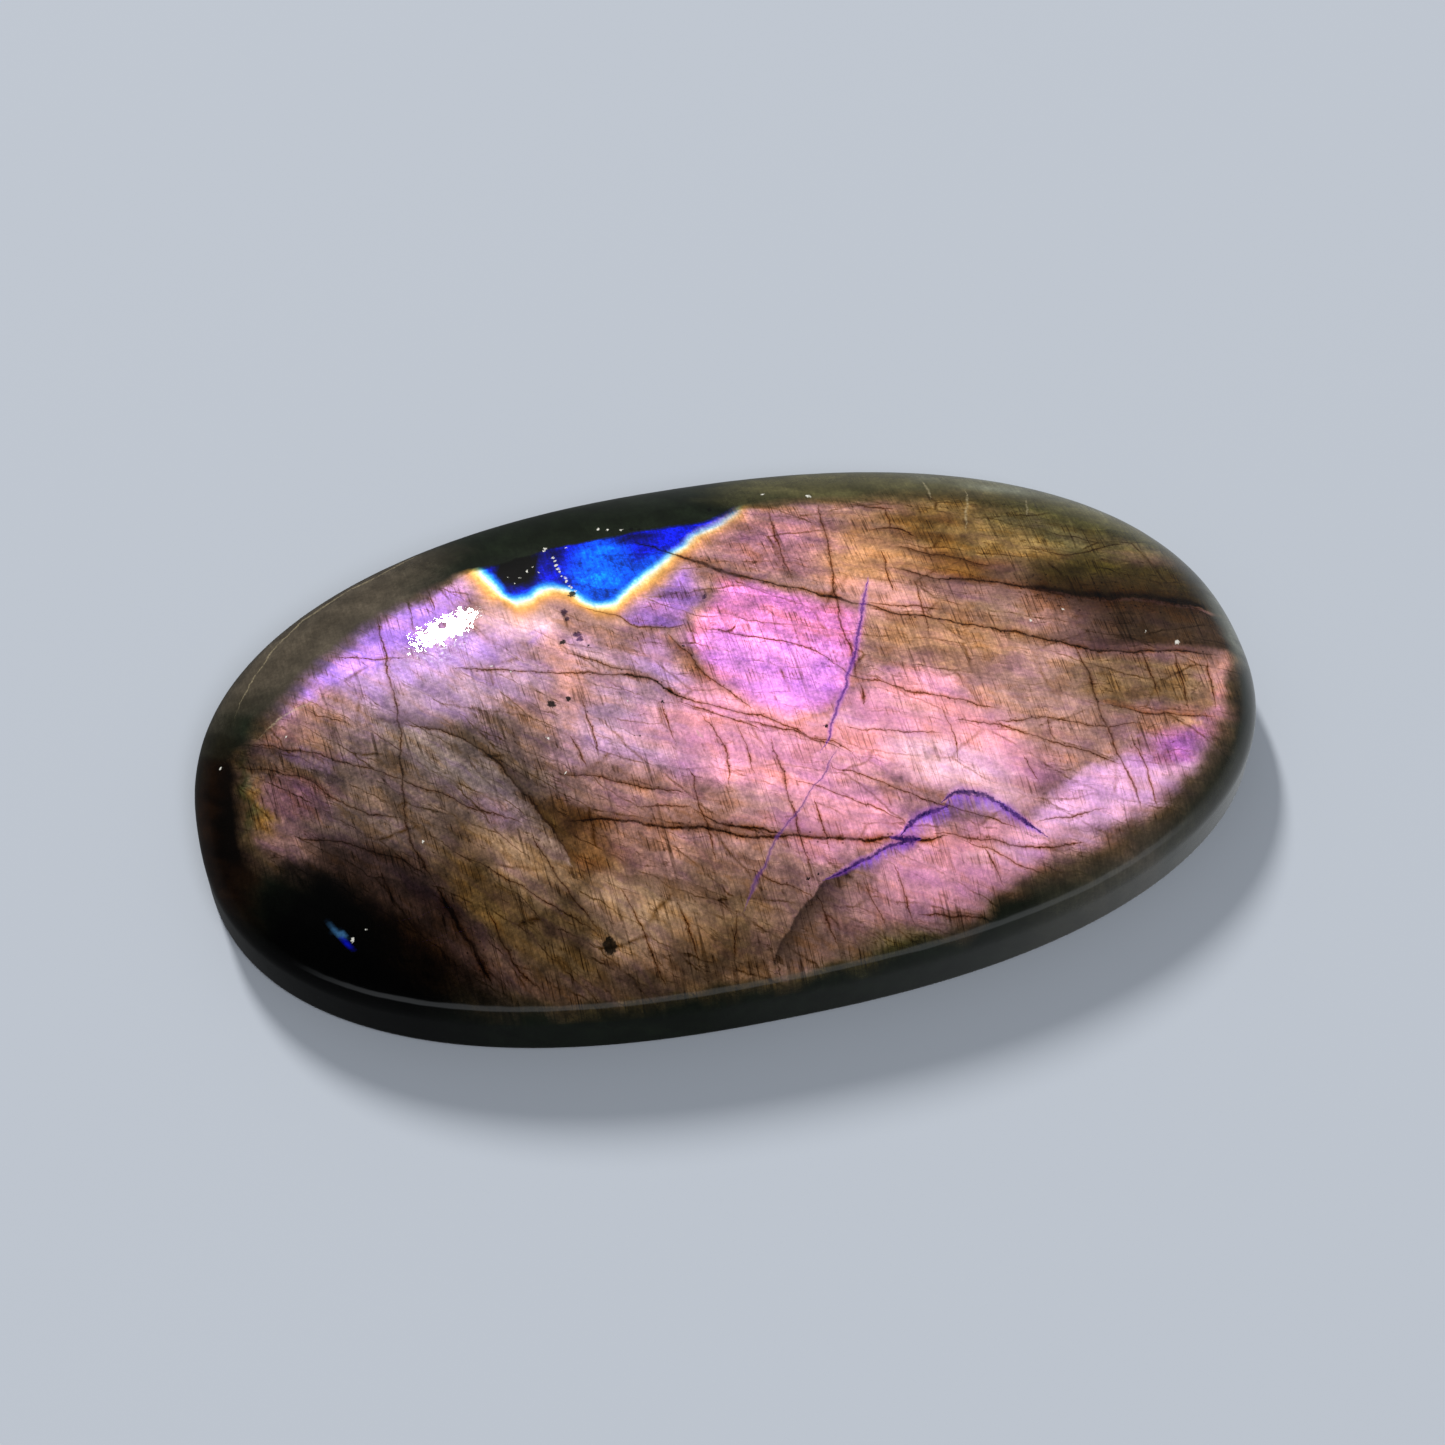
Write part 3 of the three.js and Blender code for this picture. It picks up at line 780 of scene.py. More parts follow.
def makeStoneTree(shape, facets):
    tree = bpy.data.node_groups.new("cabochonShape", "GeometryNodeTree")
    for name in shape:
        tree.interface.new_socket(name=name, in_out="INPUT", socket_type="NodeSocketFloat")
    tree.interface.new_socket(name="Material", in_out="INPUT", socket_type="NodeSocketMaterial")
    tree.interface.new_socket(name="Geometry", in_out="OUTPUT", socket_type="NodeSocketGeometry")
    given = tree.nodes.new("NodeGroupInput").outputs
    block = addNode(tree, "GeometryNodeMeshCube", {
        "Size": (2.0, 2.0, 2.0), "Vertices X": facets["across"], "Vertices Y": facets["across"],
        "Vertices Z": facets["up"]})

    def herePosition():
        return tree.nodes.new("GeometryNodeInputPosition").outputs[0]

    x, y, z = split(tree, herePosition())

    # the block's square top becomes a disc: how far out, and which way round
    def onDisc(near, other):
        squeeze = calc(tree, "MULTIPLY_ADD", calc(tree, "MULTIPLY", other, other), -0.5, 1.0)
        return calc(tree, "MULTIPLY", near, calc(tree, "SQRT", squeeze))

    discX = onDisc(x, y)
    discY = onDisc(y, x)
    out = calc(tree, "SQRT", calc(tree, "ADD", calc(tree, "MULTIPLY", discX, discX),
                                  calc(tree, "MULTIPLY", discY, discY)), clamp=True)
    angle = calc(tree, "ARCTAN2", discY, discX)
    along = calc(tree, "COSINE", angle)
    across = calc(tree, "SINE", angle)

    # the hand-cut oval
    def powered(value):
        return calc(tree, "POWER", calc(tree, "ABSOLUTE", value), given["Oval Power"])

    fill = calc(tree, "POWER", calc(tree, "ADD", powered(along), powered(across)),
                calc(tree, "DIVIDE", -1.0, given["Oval Power"]))
    wander = calc(tree, "MULTIPLY_ADD", along, given["End Taper"], 1.0)
    waves = (("COSINE", 3.0, "End Point"), ("SINE", 2.0, "Lean"), ("SINE", 3.0, "Side Flat"))
    for wave, turns, amount in waves:
        swing = calc(tree, wave, calc(tree, "MULTIPLY", angle, turns))
        wander = calc(tree, "MULTIPLY_ADD", swing, given[amount], wander)
    radius = calc(tree, "MULTIPLY", fill, wander)

    # the section: a share of the girdle's radius and a height, for the dome, the wall with its
    # bevel, and the back
    quarter = calc(tree, "MULTIPLY", out, math.pi / 2)
    domeShare = calc(tree, "SINE", quarter)
    upright = calc(tree, "MAXIMUM", calc(tree, "COSINE", quarter), 0.0)
    lift = calc(tree, "POWER", upright, given["Dome Power"])
    domeRise = calc(tree, "SUBTRACT", given["Height"], given["Girdle Height"])
    domeHeight = calc(tree, "MULTIPLY_ADD", lift, domeRise, given["Girdle Height"])
    bevelTop = -1.0 + 2 * facets["bevelShare"]
    bevelTurn = calc(tree, "MULTIPLY", fade(tree, z, -1.0, bevelTop, False), math.pi / 2)
    bevelWide = calc(tree, "DIVIDE", given["Back Bevel"], calc(tree, "MULTIPLY", given["Width"], 0.5))
    wallLift = fade(tree, z, bevelTop, 1.0, False)
    bevelIn = calc(tree, "SUBTRACT", 1.0, calc(tree, "SINE", bevelTurn))
    bevelUp = calc(tree, "SUBTRACT", 1.0, calc(tree, "COSINE", bevelTurn))
    wallShare = calc(tree, "SUBTRACT", 1.0, calc(tree, "MULTIPLY", bevelWide, bevelIn))
    bevelHeight = calc(tree, "MULTIPLY", given["Back Bevel"], bevelUp)
    wallRise = calc(tree, "SUBTRACT", given["Girdle Height"], given["Back Bevel"])
    wallHeight = calc(tree, "MULTIPLY_ADD", wallLift, wallRise, bevelHeight)
    backShare = calc(tree, "MULTIPLY", out, calc(tree, "SUBTRACT", 1.0, bevelWide))
    onTop = calc(tree, "GREATER_THAN", z, 0.999)
    onBack = calc(tree, "LESS_THAN", z, -0.999)

    def choose(wall, dome, back):
        first = addNode(tree, "ShaderNodeMix", {0: onTop, 2: wall, 3: dome})
        return addNode(tree, "ShaderNodeMix", {0: onBack, 2: first.outputs[0], 3: back}).outputs[0]

    share = choose(wallShare, domeShare, backShare)
    height = choose(wallHeight, domeHeight, 0.0)
    reach = calc(tree, "MULTIPLY", radius, share)
    flatX = calc(tree, "MULTIPLY", reach, along)
    flatY = calc(tree, "MULTIPLY", calc(tree, "MULTIPLY", reach, across), given["Oval Ratio"])
    spread = join(tree, flatX, flatY, height)
    raw = addNode(tree, "GeometryNodeSetPosition", {"Geometry": block.outputs["Mesh"], "Position": spread})

    # centred and scaled to the stone's length and width
    box = addNode(tree, "GeometryNodeBoundBox", {"Geometry": raw.outputs[0]})
    corners = calcVector(tree, "ADD", box.outputs["Min"], box.outputs["Max"])
    middle = inPlan(tree, calcVector(tree, "SCALE", corners, scale=0.5))
    extent = split(tree, calcVector(tree, "SUBTRACT", box.outputs["Max"], box.outputs["Min"]))
    size = join(tree, calc(tree, "DIVIDE", given["Length"], extent[0]),
                calc(tree, "DIVIDE", given["Width"], extent[1]), 1.0)
    fitted = calcVector(tree, "MULTIPLY", calcVector(tree, "SUBTRACT", herePosition(), middle), size)
    sized = addNode(tree, "GeometryNodeSetPosition", {"Geometry": raw.outputs[0], "Position": fitted})

    # the hand polish isn't quite even: the dome dips inwards here and there, and has a fine ripple
    surface = herePosition()
    polish = addNoise(tree, surface, given["Polish Scale"], 1.0, flat=False).outputs[0]
    ripple = addNoise(tree, surface, given["Ripple Scale"], 1.0, flat=False).outputs[0]
    rippled = calc(tree, "MULTIPLY", ripple, given["Ripple Dip"])
    dip = calc(tree, "MULTIPLY_ADD", polish, given["Polish Dip"], rippled)
    onDome = calc(tree, "GREATER_THAN", split(tree, surface)[2], given["Back Bevel"])
    depth = calc(tree, "MULTIPLY", dip, onDome)
    inwards = calcVector(tree, "SCALE", tree.nodes.new("GeometryNodeInputNormal").outputs[0],
                         scale=calc(tree, "MULTIPLY", depth, -1.0))
    polished = addNode(tree, "GeometryNodeSetPosition", {"Geometry": sized.outputs[0], "Offset": inwards})
    smooth = addNode(tree, "GeometryNodeSetShadeSmooth", {"Geometry": polished.outputs[0]})
    smooth = storeTones(tree, smooth.outputs[0])
    real = addNode(tree, "GeometryNodeRealizeInstances", {"Geometry": smooth})
    painted = addNode(tree, "GeometryNodeSetMaterial", {
        "Geometry": real.outputs[0], "Material": given["Material"]})
    ending = tree.nodes.new("NodeGroupOutput")
    tree.links.new(painted.outputs[0], ending.inputs[0])
    return tree


def makeStone(name, shape, facets, material):
    tree = makeStoneTree(shape, facets)
    stone = bpy.data.objects.new(name, bpy.data.meshes.new(name))
    scene.collection.objects.link(stone)
    modifier = stone.modifiers.new("shape", "NODES")
    modifier.node_group = tree
    sockets = {item.name: item.identifier for item in tree.interface.items_tree if item.in_out == "INPUT"}
    for key, value in shape.items():
        modifier[sockets[key]] = value
    modifier[sockets["Material"]] = material
    bpy.context.view_layer.update()
    graph = bpy.context.evaluated_depsgraph_get()
    mesh = bpy.data.meshes.new_from_object(stone.evaluated_get(graph))
    mesh.name = name
    stone.modifiers.remove(modifier)
    stone.data = mesh
    return stone


# The finish: a clear polish over the painted flash.
finish = {
    "roughness": 0.5,
    "specular": 0.03,
    "polishRoughness": 0.035,
    "polishIndex": 1.56,
    "dimFlash": 0.05,  # the dimmer parts of the flash show more texture
    "brightFlash": 0.35,
    "dimContrast": 2.0,
    "brightContrast": 1.05,
    "bodyContrast": 0.65,
    "driftNoise": (0.5, 1.0),  # drawn lines waver slowly and finely, each so many millimetres
    "shiverNoise": (2.4, 3.0, 0.7),
    "drift": 0.5,
    "shiver": 0.24,
    "wallLean": (0.9, 0.7),  # how far the grain leans on the wall, for each millimetre down
    "wallTop": 3.4,
}

# noise for the grain: how often it repeats one way and the other, then its detail and roughness
streakNoise = {
    "striae": (5.5, 0.5, 2.0, 0.6),
    "dashes": (8.0, 0.32, 2.0, 0.55),
    "hairs": (1.5, 0.05, 1.0, 0.5),
}
flowNoise = {
    "bands": (0.1, 0.6, 5.0, 0.62),
    "hue": (0.4, 0.7, 4.0, 0.6),
}
streakLean = 0.07
# cells along the flow: how often they repeat along it and across it
cellSizes = {
    "facets": (0.22, 0.5),
    "network": (0.13, 0.36),
}
dashLevels = (0.54, 0.68)
lineWidths = {
    "hairs": 0.02,
    "veins": 0.016,
    "network": 0.03,
}
veinNoise = (1.3, 3.0, 0.55)
veinShift = (7.3, 2.1, 0.0)
dotLooks = {
    "perMillimetre": 1.9,
    "leftOut": 0.6,
    "edge": (0.17, 0.08),
}
# noise that is the same every way: scale, detail and roughness
spotNoise = {
    "mottle": (0.62, 6.0, 0.72),
    "fleck": (5.0, 2.0, 0.7),
}
# masks that thin out a marking: the noise, its range, and what is left at either end
thinners = {
    "patches": ("mottle", 0.35, 0.65, 0.65, 1.0),
    "streaks": ("striae", 0.35, 0.65, 0.8, 1.0),
    "streaked": ("striae", 0.36, 0.6, 0.4, 1.0),
    "blotchy": ("mottle", 0.4, 0.6, 0.3, 1.2),
}
# how dark and how bright each makes the stone
facetShades = (0.94, 1.2)
grainShades = {
    "striae": (0.91, 1.1),
    "mottle": (0.62, 1.38),
    "fleck": (0.86, 1.14),
    "bands": (0.9, 1.12),
}
# where each tint starts and is full, on the noise it follows
tintLevels = {
    "warmBands": ("bands", 0.5, 0.66),
    "coolBands": ("bands", 0.52, 0.36),
    "warmHue": ("hue", 0.52, 0.66),
    "coolHue": ("hue", 0.48, 0.34),
    "clustered": ("hue", 0.46, 0.62),
    "patchy": ("mottle", 0.38, 0.6),
}
# how strongly each tints the flash, and with what
grainTints = {
    "warmBands": (0.35, "#ecd49c"),
    "coolBands": (0.35, "#e0d0fc"),
    "warmHue": (0.3, "#f0dca4"),
    "coolHue": (0.28, "#d8ccfc"),
    "veins": (0.5, "#8c7c54"),
    "network": (0.6, "#94804c"),
    "hairs": (0.5, "#786c54"),
    "dashes": (0.46, "#766850"),
}


def readTone(tree, name, output="Color"):
    node = addNode(tree, "ShaderNodeAttribute", attribute_name=name, attribute_type="GEOMETRY")
    return node.outputs[output]


def noiseLine(tree, noise, width):
    # thin wandering lines where a noise passes its middle
    away = calc(tree, "ABSOLUTE", calc(tree, "SUBTRACT", noise, 0.5))
    return fade(tree, away, width, 0.0, False)


def addCells(tree, point, scale, feature="F1"):
    return addNode(tree, "ShaderNodeTexVoronoi", {"Vector": point, "Scale": scale}, voronoi_dimensions="2D",
                   feature=feature)


def splitColour(tree, colour):
    return addNode(tree, "ShaderNodeSeparateColor", {0: colour}).outputs


def makeGrain(tree, point, plan, parts):
    # masks of the stone's texture, all from noise
    x, y, _ = split(tree, plan)
    across = calc(tree, "MULTIPLY_ADD", y, streakLean, x)
    stream = acrossFlow(tree, parts)
    grain = {}
    for first, second, noises in ((across, y, streakNoise), (parts[0], stream, flowNoise)):
        for name, (scaleFirst, scaleSecond, detail, rough) in noises.items():
            place = stretch(tree, first, second, scaleFirst, scaleSecond)
            grain[name] = addNoise(tree, place, 1.0, detail, rough).outputs["Fac"]
    for name, (scale, detail, rough) in spotNoise.items():
        grain[name] = addNoise(tree, point, scale, detail, rough, flat=False).outputs["Fac"]
    grain["dashes"] = fade(tree, grain["dashes"], *dashLevels)
    grain["hairs"] = noiseLine(tree, grain["hairs"], lineWidths["hairs"])
    elsewhere = calcVector(tree, "ADD", stretch(tree, parts[0], stream, *flowNoise["bands"][:2]), veinShift)
    veins = addNoise(tree, elsewhere, *veinNoise).outputs["Fac"]
    grain["veins"] = noiseLine(tree, veins, lineWidths["veins"])
    facets = addCells(tree, stretch(tree, parts[0], stream, *cellSizes["facets"]), 1.0)
    grain["facets"] = splitColour(tree, facets.outputs["Color"])[0]
    network = stretch(tree, parts[0], stream, *cellSizes["network"])
    network = addCells(tree, network, 1.0, "DISTANCE_TO_EDGE")
    grain["network"] = fade(tree, network.outputs["Distance"], lineWidths["network"], 0.0, False)
    dots = addCells(tree, plan, dotLooks["perMillimetre"])
    chosen = calc(tree, "GREATER_THAN", splitColour(tree, dots.outputs["Color"])[1], dotLooks["leftOut"])
    grain["dots"] = calc(tree, "MULTIPLY", fade(tree, dots.outputs["Distance"], *dotLooks["edge"]), chosen)
    for name, (noise, *levels) in thinners.items():
        grain[name] = remap(tree, grain[noise], *levels)
    grain["uneven"] = calc(tree, "MULTIPLY", grain["patches"], grain["streaks"])
    return grain


def grainShade(tree, grain):
    # how bright the stone is at a point, round 1
    shade = remap(tree, grain["facets"], 0.0, 1.0, *facetShades)
    for name, (low, high) in grainShades.items():
        shade = calc(tree, "MULTIPLY", shade, remap(tree, grain[name], 0.3, 0.7, low, high))
    return shade


def multiply(tree, under, over, amount=1.0):
    return blendColour(tree, amount, under, over, "MULTIPLY")


def tint(tree, amount, colour, code):
    return multiply(tree, colour, tone(code), amount)


def paintZones(tree, parts, grain, flash):
    # zones with edges, then shading beside the cracks
    for name, strength, edges in zones:
        mask = calc(tree, "MULTIPLY", drawZone(tree, parts, edges), strength)
        flash = blendColour(tree, mask, flash, tone(tones[name]))
    for name, strength in shadeStrength.items():
        mask = drawShades(tree, parts, [line[1:] for line in shades if line[0] == name])
        if name == "iris":
            mask = calc(tree, "POWER", mask, 1.5)
        mask = calc(tree, "MULTIPLY", mask, strength)
        mask = calc(tree, "MULTIPLY", mask, grain["streaked" if name == "iris" else "uneven"])
        flash = blendColour(tree, mask, flash, tone(tones[name]))
    return flash


def paintGrain(tree, grain, contrast, flash):
    # warm and cool tints, and the finest lines
    masks = {}
    for name, (noise, none, full) in tintLevels.items():
        masks[name] = fade(tree, grain[noise], none, full)
        if noise != "bands":
            masks[name] = calc(tree, "MULTIPLY", masks[name], contrast)
    masks["dashes"] = calc(tree, "MULTIPLY", grain["dashes"], masks["clustered"])
    for name in ("veins", "network", "hairs"):
        masks[name] = calc(tree, "MULTIPLY", grain[name], masks["patchy"])
    for name, (amount, code) in grainTints.items():
        flash = tint(tree, calc(tree, "MULTIPLY", masks[name], amount, clamp=True), flash, code)
    return flash


# the rainbow fringe: how far inside the blue patch, and the tone there
fringeStops = [
    (-2.0, "#d0a498"), (-1.2, "#d09c84"), (-0.65, "#dc9858"), (-0.34, "#eeb05c"), (-0.14, "#f4d894"),
    (0.02, "#dcece0"), (0.16, "#90d8f4"), (0.34, "#2c90ee"), (0.55, "#0a54da"),
]
fringe = {
    "contrast": 0.6,
    "glow": (-2.0, -0.1),
    "glowAcross": (-3.0, 3.5, 1.0, 0.3),  # weaker to the right
    "blue": (0.35, 0.75),
}


def paintBlue(tree, point, parts, shadeColour, flash):
    notch = drawNotch(tree, point)
    rainbow = multiply(tree, rampThrough(tree, notch, fringeStops), shadeColour, fringe["contrast"])
    glow = fade(tree, notch, *fringe["glow"])
    glow = calc(tree, "MULTIPLY", glow, remap(tree, parts[0], *fringe["glowAcross"]))
    flash = blendColour(tree, glow, flash, rainbow)
    blue = readTone(tree, "blueTone")
    for _ in range(2):  # the blue shows the grain twice as strongly
        blue = multiply(tree, blue, shadeColour)
    return blendColour(tree, fade(tree, notch, *fringe["blue"]), flash, blue)


# cracks have a rusty stain with dust in it: how strong the stain and the line are, and the line's tone
crackReach = 6.0  # how many half widths the stain spreads
crackStain = "#b49450"
crackEdge = (1.5, 0.3)  # half widths where the line itself starts and is full
stainPower = 1.6
dustReach = (0.05, 0.5)
dustStrength = 0.7
crackLooks = [(fineCracks, 0.9, 1.0, "#7c5a3a"), (boldCracks, 1.1, 1.1, "#482a16")]
# violet lines have a haze instead
violetHaze = "#984cd8"
hazePower = 1.5
violetEdge = (0.6, 0.9)
violetGaps = (0.3, 0.7, 0.8, 1.2)
violetLooks = [
    (violetLines, 0.6, 0.95, "#401c5c"),
    (duskLines, 0.25, 0.8, "#4c3458"),
    (archLines, 0.55, 1.1, "#1c0e44"),
]


def paintCracks(tree, parts, grain, flash):
    for lines, stained, dark, code in crackLooks:
        near = drawLines(tree, parts, lines, crackReach)
        stain = calc(tree, "MULTIPLY", grain["blotchy"], stained)
        stain = calc(tree, "MULTIPLY", calc(tree, "POWER", near, stainPower), stain)
        flash = tint(tree, calc(tree, "MINIMUM", stain, 1.0), flash, crackStain)
        dust = calc(tree, "MULTIPLY", grain["dots"], fade(tree, near, *dustReach))
        flash = tint(tree, calc(tree, "MULTIPLY", dust, dustStrength), flash, code)
        line = fade(tree, near, *[1.0 - far / crackReach for far in crackEdge])
        line = calc(tree, "MULTIPLY", line, grain["uneven"])
        flash = tint(tree, calc(tree, "MULTIPLY", line, dark, clamp=True), flash, code)
    for lines, haze, dark, code in violetLooks:
        near = drawLines(tree, parts, lines, crackReach)
        near = calc(tree, "MULTIPLY", near, remap(tree, grain["fleck"], *violetGaps))
        spread = calc(tree, "MULTIPLY", calc(tree, "POWER", near, hazePower), haze)
        flash = blendColour(tree, spread, flash, tone(violetHaze))
        core = calc(tree, "MULTIPLY", grain["uneven"], dark)
        core = calc(tree, "MULTIPLY", fade(tree, near, *violetEdge), core)
        flash = blendColour(tree, core, flash, tone(code))
    return flash


# the flash's edge, as shares of its softness, with the shake from the grain and a green tint
flashEdge = {
    "outer": -1.0,
    "inner": 1.1,
    "shake": {"striae": 0.02, "mottle": 0.14},
    "tint": "#8c9c58",
    "tintFrom": 1.3,
    "tintTo": 0.1,
    "tintStrength": 0.8,
}


def paintBody(tree, grain, shadeColour, flash):
    # the body shows where the flash stops
    body = multiply(tree, readTone(tree, "bodyTone"), shadeColour, finish["bodyContrast"])
    inside = readTone(tree, "flashDepth", "Fac")
    for name, swing in flashEdge["shake"].items():
        inside = calc(tree, "ADD", inside, remap(tree, grain[name], 0.2, 0.8, -swing, swing))
    green = fade(tree, inside, flashEdge["tintFrom"], flashEdge["tintTo"])
    green = calc(tree, "MULTIPLY", green, flashEdge["tintStrength"])
    flash = tint(tree, green, flash, flashEdge["tint"])
    return blendColour(tree, fade(tree, inside, flashEdge["outer"], flashEdge["inner"]), body, flash)


# pale lines, partly painted glints along a fracture and the far-left rim
paleLineAndGlintLook = {
    "reach": 3.0,
    "gaps": (0.35, 0.6, 0.1, 1.0),
    "strength": 0.5,
    "tone": "#b4a684",
}
# specks: which, how sharp their edge is as shares of the radius, how strong, and their tone; dark pits first,
# then painted glints
speckLooks = [(darkSpecks, 1.15, 0.7, 0.95, "#060806"), (glintSpecks, 1.1, 0.6, 0.9, "#d8d6cc")]
duskEdge, duskTone = (1.4, 0.6), "#74688c"
speckNoise, speckShake = (5.0, 2.0, 0.7), 0.3


def paintMarksAndGlints(tree, plan, bent, parts, grain, colour):
    # pale healed cracks and scratches, partly painted glints, then dusky specks, dark pits and the painted
    # glints of small pits
    paleAndGlint = drawLines(tree, parts, paleLinesAndGlints, paleLineAndGlintLook["reach"])
    paleAndGlint = calc(tree, "MULTIPLY", paleAndGlint, remap(tree, grain["fleck"], *paleLineAndGlintLook["gaps"]))
    paleAndGlint = calc(tree, "MULTIPLY", paleAndGlint, paleLineAndGlintLook["strength"])
    colour = blendColour(tree, paleAndGlint, colour, tone(paleLineAndGlintLook["tone"]))
    shake = calcVector(tree, "SCALE", wobble(tree, plan, *speckNoise), scale=speckShake)
    ragged = inPlan(tree, calcVector(tree, "ADD", bent, shake))
    colour = tint(tree, fade(tree, drawSpecks(tree, ragged, duskSpecks), *duskEdge), colour, duskTone)
    for specks, none, full, strength, code in speckLooks:
        mask = calc(tree, "MULTIPLY", fade(tree, drawSpecks(tree, ragged, specks), none, full), strength)
        colour = blendColour(tree, mask, colour, tone(code))
    return colour


# the polish is worn round the place where the lamp is mirrored
scuff = {
    "oval": ((-16.8, 8.7), (2.15, 0.86), 18),  # centre, radii and turn
    "ragged": 2.8,
    "ragNoise": (2.4, 3.0, 0.7),
    "edge": (0.9, 1.1),
    "reach": (4.0, 3.2),
    "hollow": (-17.0, 9.0, 0.0),
    "hollowEdge": (0.42, 0.25),
    # white specks below the mirrored lamp: scuffs in the polish, with their glints painted into the colour as
    # painted highlights
    "scuffGlints": ((-17.3, 7.2), (3.2, 1.6), 10, 0.8, 1.0),
    "scuffGlintLevels": (0.56, 0.66),
    "scuffGlintTone": "#e6e0ea",
    "scuffGlintStrength": 0.8,
}


def makePolish(tree, plan):
    # how much clear polish there is
    rough = addNoise(tree, plan, *scuff["ragNoise"]).outputs["Fac"]
    away = ovalDistance(tree, plan, *scuff["oval"])
    worn = calc(tree, "MULTIPLY_ADD", calc(tree, "SUBTRACT", rough, 0.5), scuff["ragged"], away)
    worn = calc(tree, "MULTIPLY", fade(tree, worn, *scuff["edge"]), fade(tree, away, *scuff["reach"]))
    hollow = fade(tree, calcVector(tree, "DISTANCE", plan, scuff["hollow"]), *scuff["hollowEdge"])
    return calc(tree, "SUBTRACT", 1.0, calc(tree, "MAXIMUM", worn, hollow))


def makeLabradorite():
    material = bpy.data.materials.new("labradoriteFlash")
    material.use_nodes = True
    tree = material.node_tree
    tree.nodes.clear()

    # coordinates in millimetres, with the height taken off for the markings
    where = tree.nodes.new("ShaderNodeTexCoord")
    point = calcVector(tree, "SCALE", where.outputs["Object"], scale=1.0 / millimetre)
    plan = inPlan(tree, point)
    drift = wobble(tree, plan, *finish["driftNoise"])
    shiver = wobble(tree, plan, *finish["shiverNoise"])
    bent = inPlan(tree, bend(tree, plan, drift, finish["drift"], shiver, finish["shiver"]))
    parts = split(tree, bent)

    # on the wall the grain leans, as the layers of the stone do
    below = calc(tree, "MINIMUM", calc(tree, "SUBTRACT", split(tree, point)[2], finish["wallTop"]), 0.0)
    lean = stretch(tree, below, below, *finish["wallLean"])
    leaning = split(tree, calcVector(tree, "ADD", bent, lean))
    grain = makeGrain(tree, point, calcVector(tree, "ADD", plan, lean), leaning)

    flash = readTone(tree, "flashTone")
    contrast = remap(tree, splitColour(tree, flash)[1], finish["dimFlash"], finish["brightFlash"],
                     finish["dimContrast"], finish["brightContrast"])
    shade = calc(tree, "POWER", grainShade(tree, grain), contrast)
    shadeColour = join(tree, shade, shade, shade)

    flash = multiply(tree, paintZones(tree, parts, grain, flash), shadeColour)
    flash = paintGrain(tree, grain, contrast, flash)
    flash = paintBlue(tree, bent, parts, shadeColour, flash)
    flash = paintCracks(tree, parts, grain, flash)
    colour = paintBody(tree, grain, shadeColour, flash)
    colour = paintMarksAndGlints(tree, plan, bent, parts, grain, colour)
    # painted glints: pale specks on the scuffs below the mirrored lamp
    scuffGlints = patchMask(tree, plan, *scuff["scuffGlints"])
    scuffGlints = calc(tree, "MULTIPLY", scuffGlints, fade(tree, grain["fleck"], *scuff["scuffGlintLevels"]))
    scuffGlints = calc(tree, "MULTIPLY", scuffGlints, scuff["scuffGlintStrength"])
    colour = blendColour(tree, scuffGlints, colour, tone(scuff["scuffGlintTone"]))

    shader = tree.nodes.new("ShaderNodeBsdfPrincipled")
    feed(tree, colour, shader.inputs["Base Color"])
    feed(tree, makePolish(tree, plan), shader.inputs["Coat Weight"])
    shader.inputs["Roughness"].default_value = finish["roughness"]
    shader.inputs["Specular IOR Level"].default_value = finish["specular"]
    shader.inputs["Coat Roughness"].default_value = finish["polishRoughness"]
    shader.inputs["Coat IOR"].default_value = finish["polishIndex"]
    ending = tree.nodes.new("ShaderNodeOutputMaterial")
    tree.links.new(shader.outputs[0], ending.inputs["Surface"])
    return material


labradorite = makeLabradorite()
print("material made")
stone = makeStone("polishedStone", stoneShape, stoneFacets, labradorite)
print("stone made:", len(stone.data.polygons), "faces")
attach(stone, "root")
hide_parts("cabochon")


# Floor and light: plain, pale and soft, with one lamp that the polish mirrors.
studio = {
    "floorSize": 6.0,
    "floorTone": "#acb2bb",
    "skyTone": (0.9, 0.95, 1.0),
    "horizonLight": 0.10,  # the room is dim low down and pale overhead
    "overheadLight": 0.36,
    "mirroredFloor": 0.4,  # what the polish mirrors: a floor, a horizon and a room above it
    "mirroredHorizon": 0.28,
    "mirroredAbove": 0.08,
    "mirroredSides": (0.05, 0.85, 0.15, 1.9),  # it is dim to the left and bright to the right
    "mirroredDepth": (-0.3, 0.4, 0.6, 1.0),  # and a little dimmer in front
    "mirroredFront": 0.5,  # a pale strip low in front of the stone
    "frontEdge": (-0.4, -0.8),
    "backdrop": (0.47, 0.51, 0.57),  # what the camera itself sees beyond the floor
}
lamps = {
    "key": {"direction": (-0.14, 0.77, 0.62), "distance": 2.5, "size": (0.25, 0.62), "roll": -16.0,
            "power": 65.0, "tone": (1.0, 0.98, 0.95), "mirrored": True},
    "fill": {"direction": (0.1, -0.5, 0.86), "distance": 2.5, "size": (1.2, 1.2), "roll": 0.0, "power": 28.0,
             "tone": (0.97, 0.98, 1.0), "mirrored": False},
}


def makeFloor(setup):
    half = setup["floorSize"] / 2
    mesh = bpy.data.meshes.new("floor")
    corners = [(-half, -half, 0), (half, -half, 0), (half, half, 0), (-half, half, 0)]
    mesh.from_pydata(corners, [], [(0, 1, 2, 3)])
    floor = bpy.data.objects.new("floor", mesh)
    scene.collection.objects.link(floor)
    material = bpy.data.materials.new("paleTable")
    material.use_nodes = True
    shader = material.node_tree.nodes["Principled BSDF"]
    shader.inputs["Base Color"].default_value = tone(setup["floorTone"])
    shader.inputs["Roughness"].default_value = 1.0
    shader.inputs["Specular IOR Level"].default_value = 0.0
    mesh.materials.append(material)
    floor.visible_glossy = False


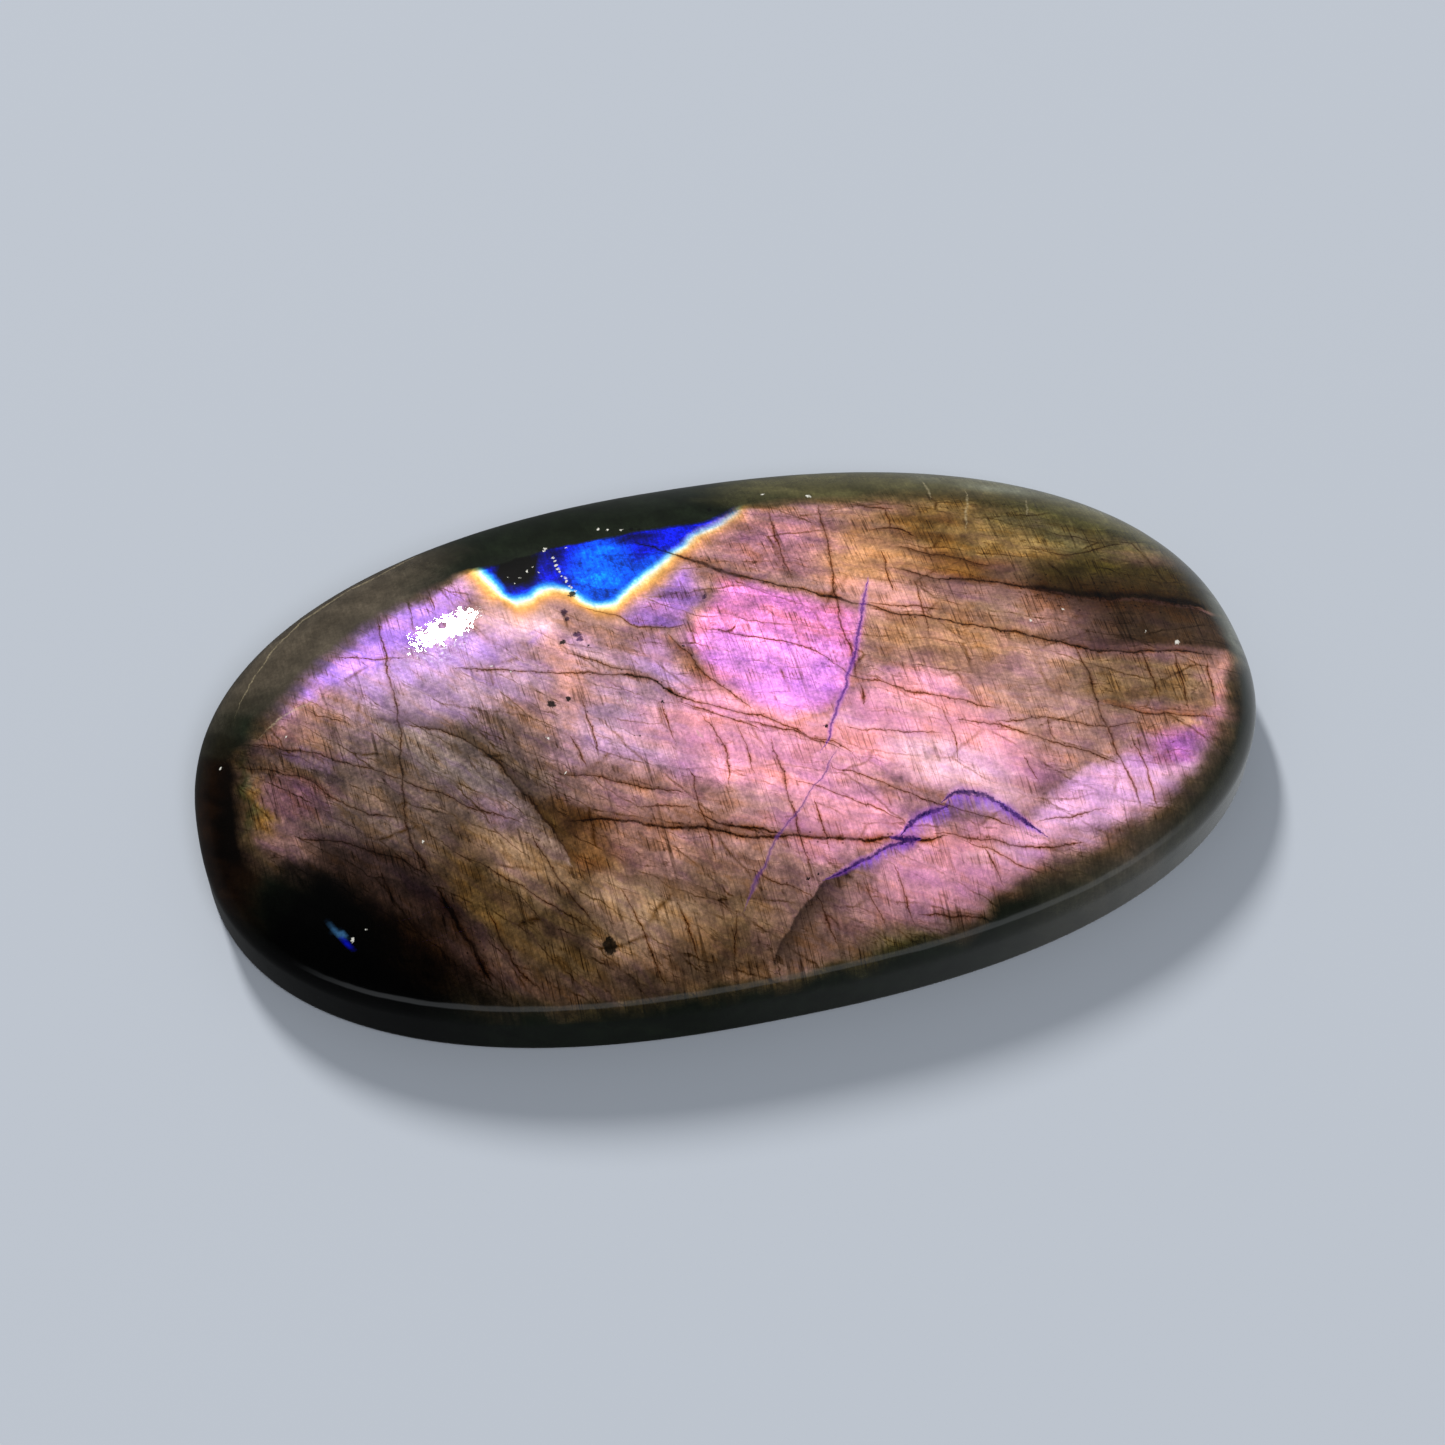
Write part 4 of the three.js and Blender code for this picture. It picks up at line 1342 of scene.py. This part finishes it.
def makeRoom(setup):
    world = bpy.data.worlds.new("studio")
    scene.world = world
    world.use_nodes = True
    world.cycles.sampling_method = "NONE"
    tree = world.node_tree
    sky = tree.nodes["Background"]
    x, y, z = split(tree, tree.nodes.new("ShaderNodeTexCoord").outputs["Generated"])
    strength = remap(tree, z, 0.0, 1.0, setup["horizonLight"], setup["overheadLight"])
    rays = tree.nodes.new("ShaderNodeLightPath").outputs
    mirrored = curveThrough(tree, z, [
        (-1.0, setup["mirroredFloor"]), (-0.25, setup["mirroredFloor"]), (0.0, setup["mirroredHorizon"]),
        (0.25, setup["mirroredAbove"]), (1.0, setup["mirroredAbove"])])
    mirrored = calc(tree, "MULTIPLY", mirrored, remap(tree, x, *setup["mirroredSides"]))
    mirrored = calc(tree, "MULTIPLY", mirrored, remap(tree, y, *setup["mirroredDepth"]))
    front = curveThrough(tree, z, [
        (-1.0, 0.0), (-0.2, 0.0), (-0.12, setup["mirroredFront"]), (0.0, setup["mirroredFront"]),
        (0.1, 0.0), (1.0, 0.0)])
    mirrored = calc(tree, "MULTIPLY_ADD", front, fade(tree, y, *setup["frontEdge"]), mirrored)
    feed(tree, setup["skyTone"] + (1.0,), sky.inputs["Color"])
    feed(tree, remap(tree, rays["Is Glossy Ray"], 0.0, 1.0, strength, mirrored), sky.inputs["Strength"])
    backdrop = addNode(tree, "ShaderNodeBackground", {"Color": setup["backdrop"] + (1.0,)})
    mixed = addNode(tree, "ShaderNodeMixShader", {0: rays["Is Camera Ray"], 1: sky.outputs[0],
                                                  2: backdrop.outputs[0]})
    tree.links.new(mixed.outputs[0], tree.nodes["World Output"].inputs["Surface"])


def makeLamp(name, setup):
    lamp = bpy.data.lights.new(name, "AREA")
    lamp.shape = "ELLIPSE"
    lamp.size, lamp.size_y = setup["size"]
    lamp.energy = setup["power"]
    lamp.color = setup["tone"]
    holder = bpy.data.objects.new(name, lamp)
    direction = Vector(setup["direction"]).normalized()
    holder.location = direction * setup["distance"]
    roll = Quaternion((0.0, 0.0, 1.0), math.radians(setup["roll"]))
    holder.rotation_euler = (direction.to_track_quat("Z", "Y") @ roll).to_euler()
    holder.visible_glossy = setup["mirrored"]
    scene.collection.objects.link(holder)


makeFloor(studio)
makeRoom(studio)
for name, setup in lamps.items():
    makeLamp(name, setup)
scene.view_settings.view_transform = "Standard"
print("floor and light made")
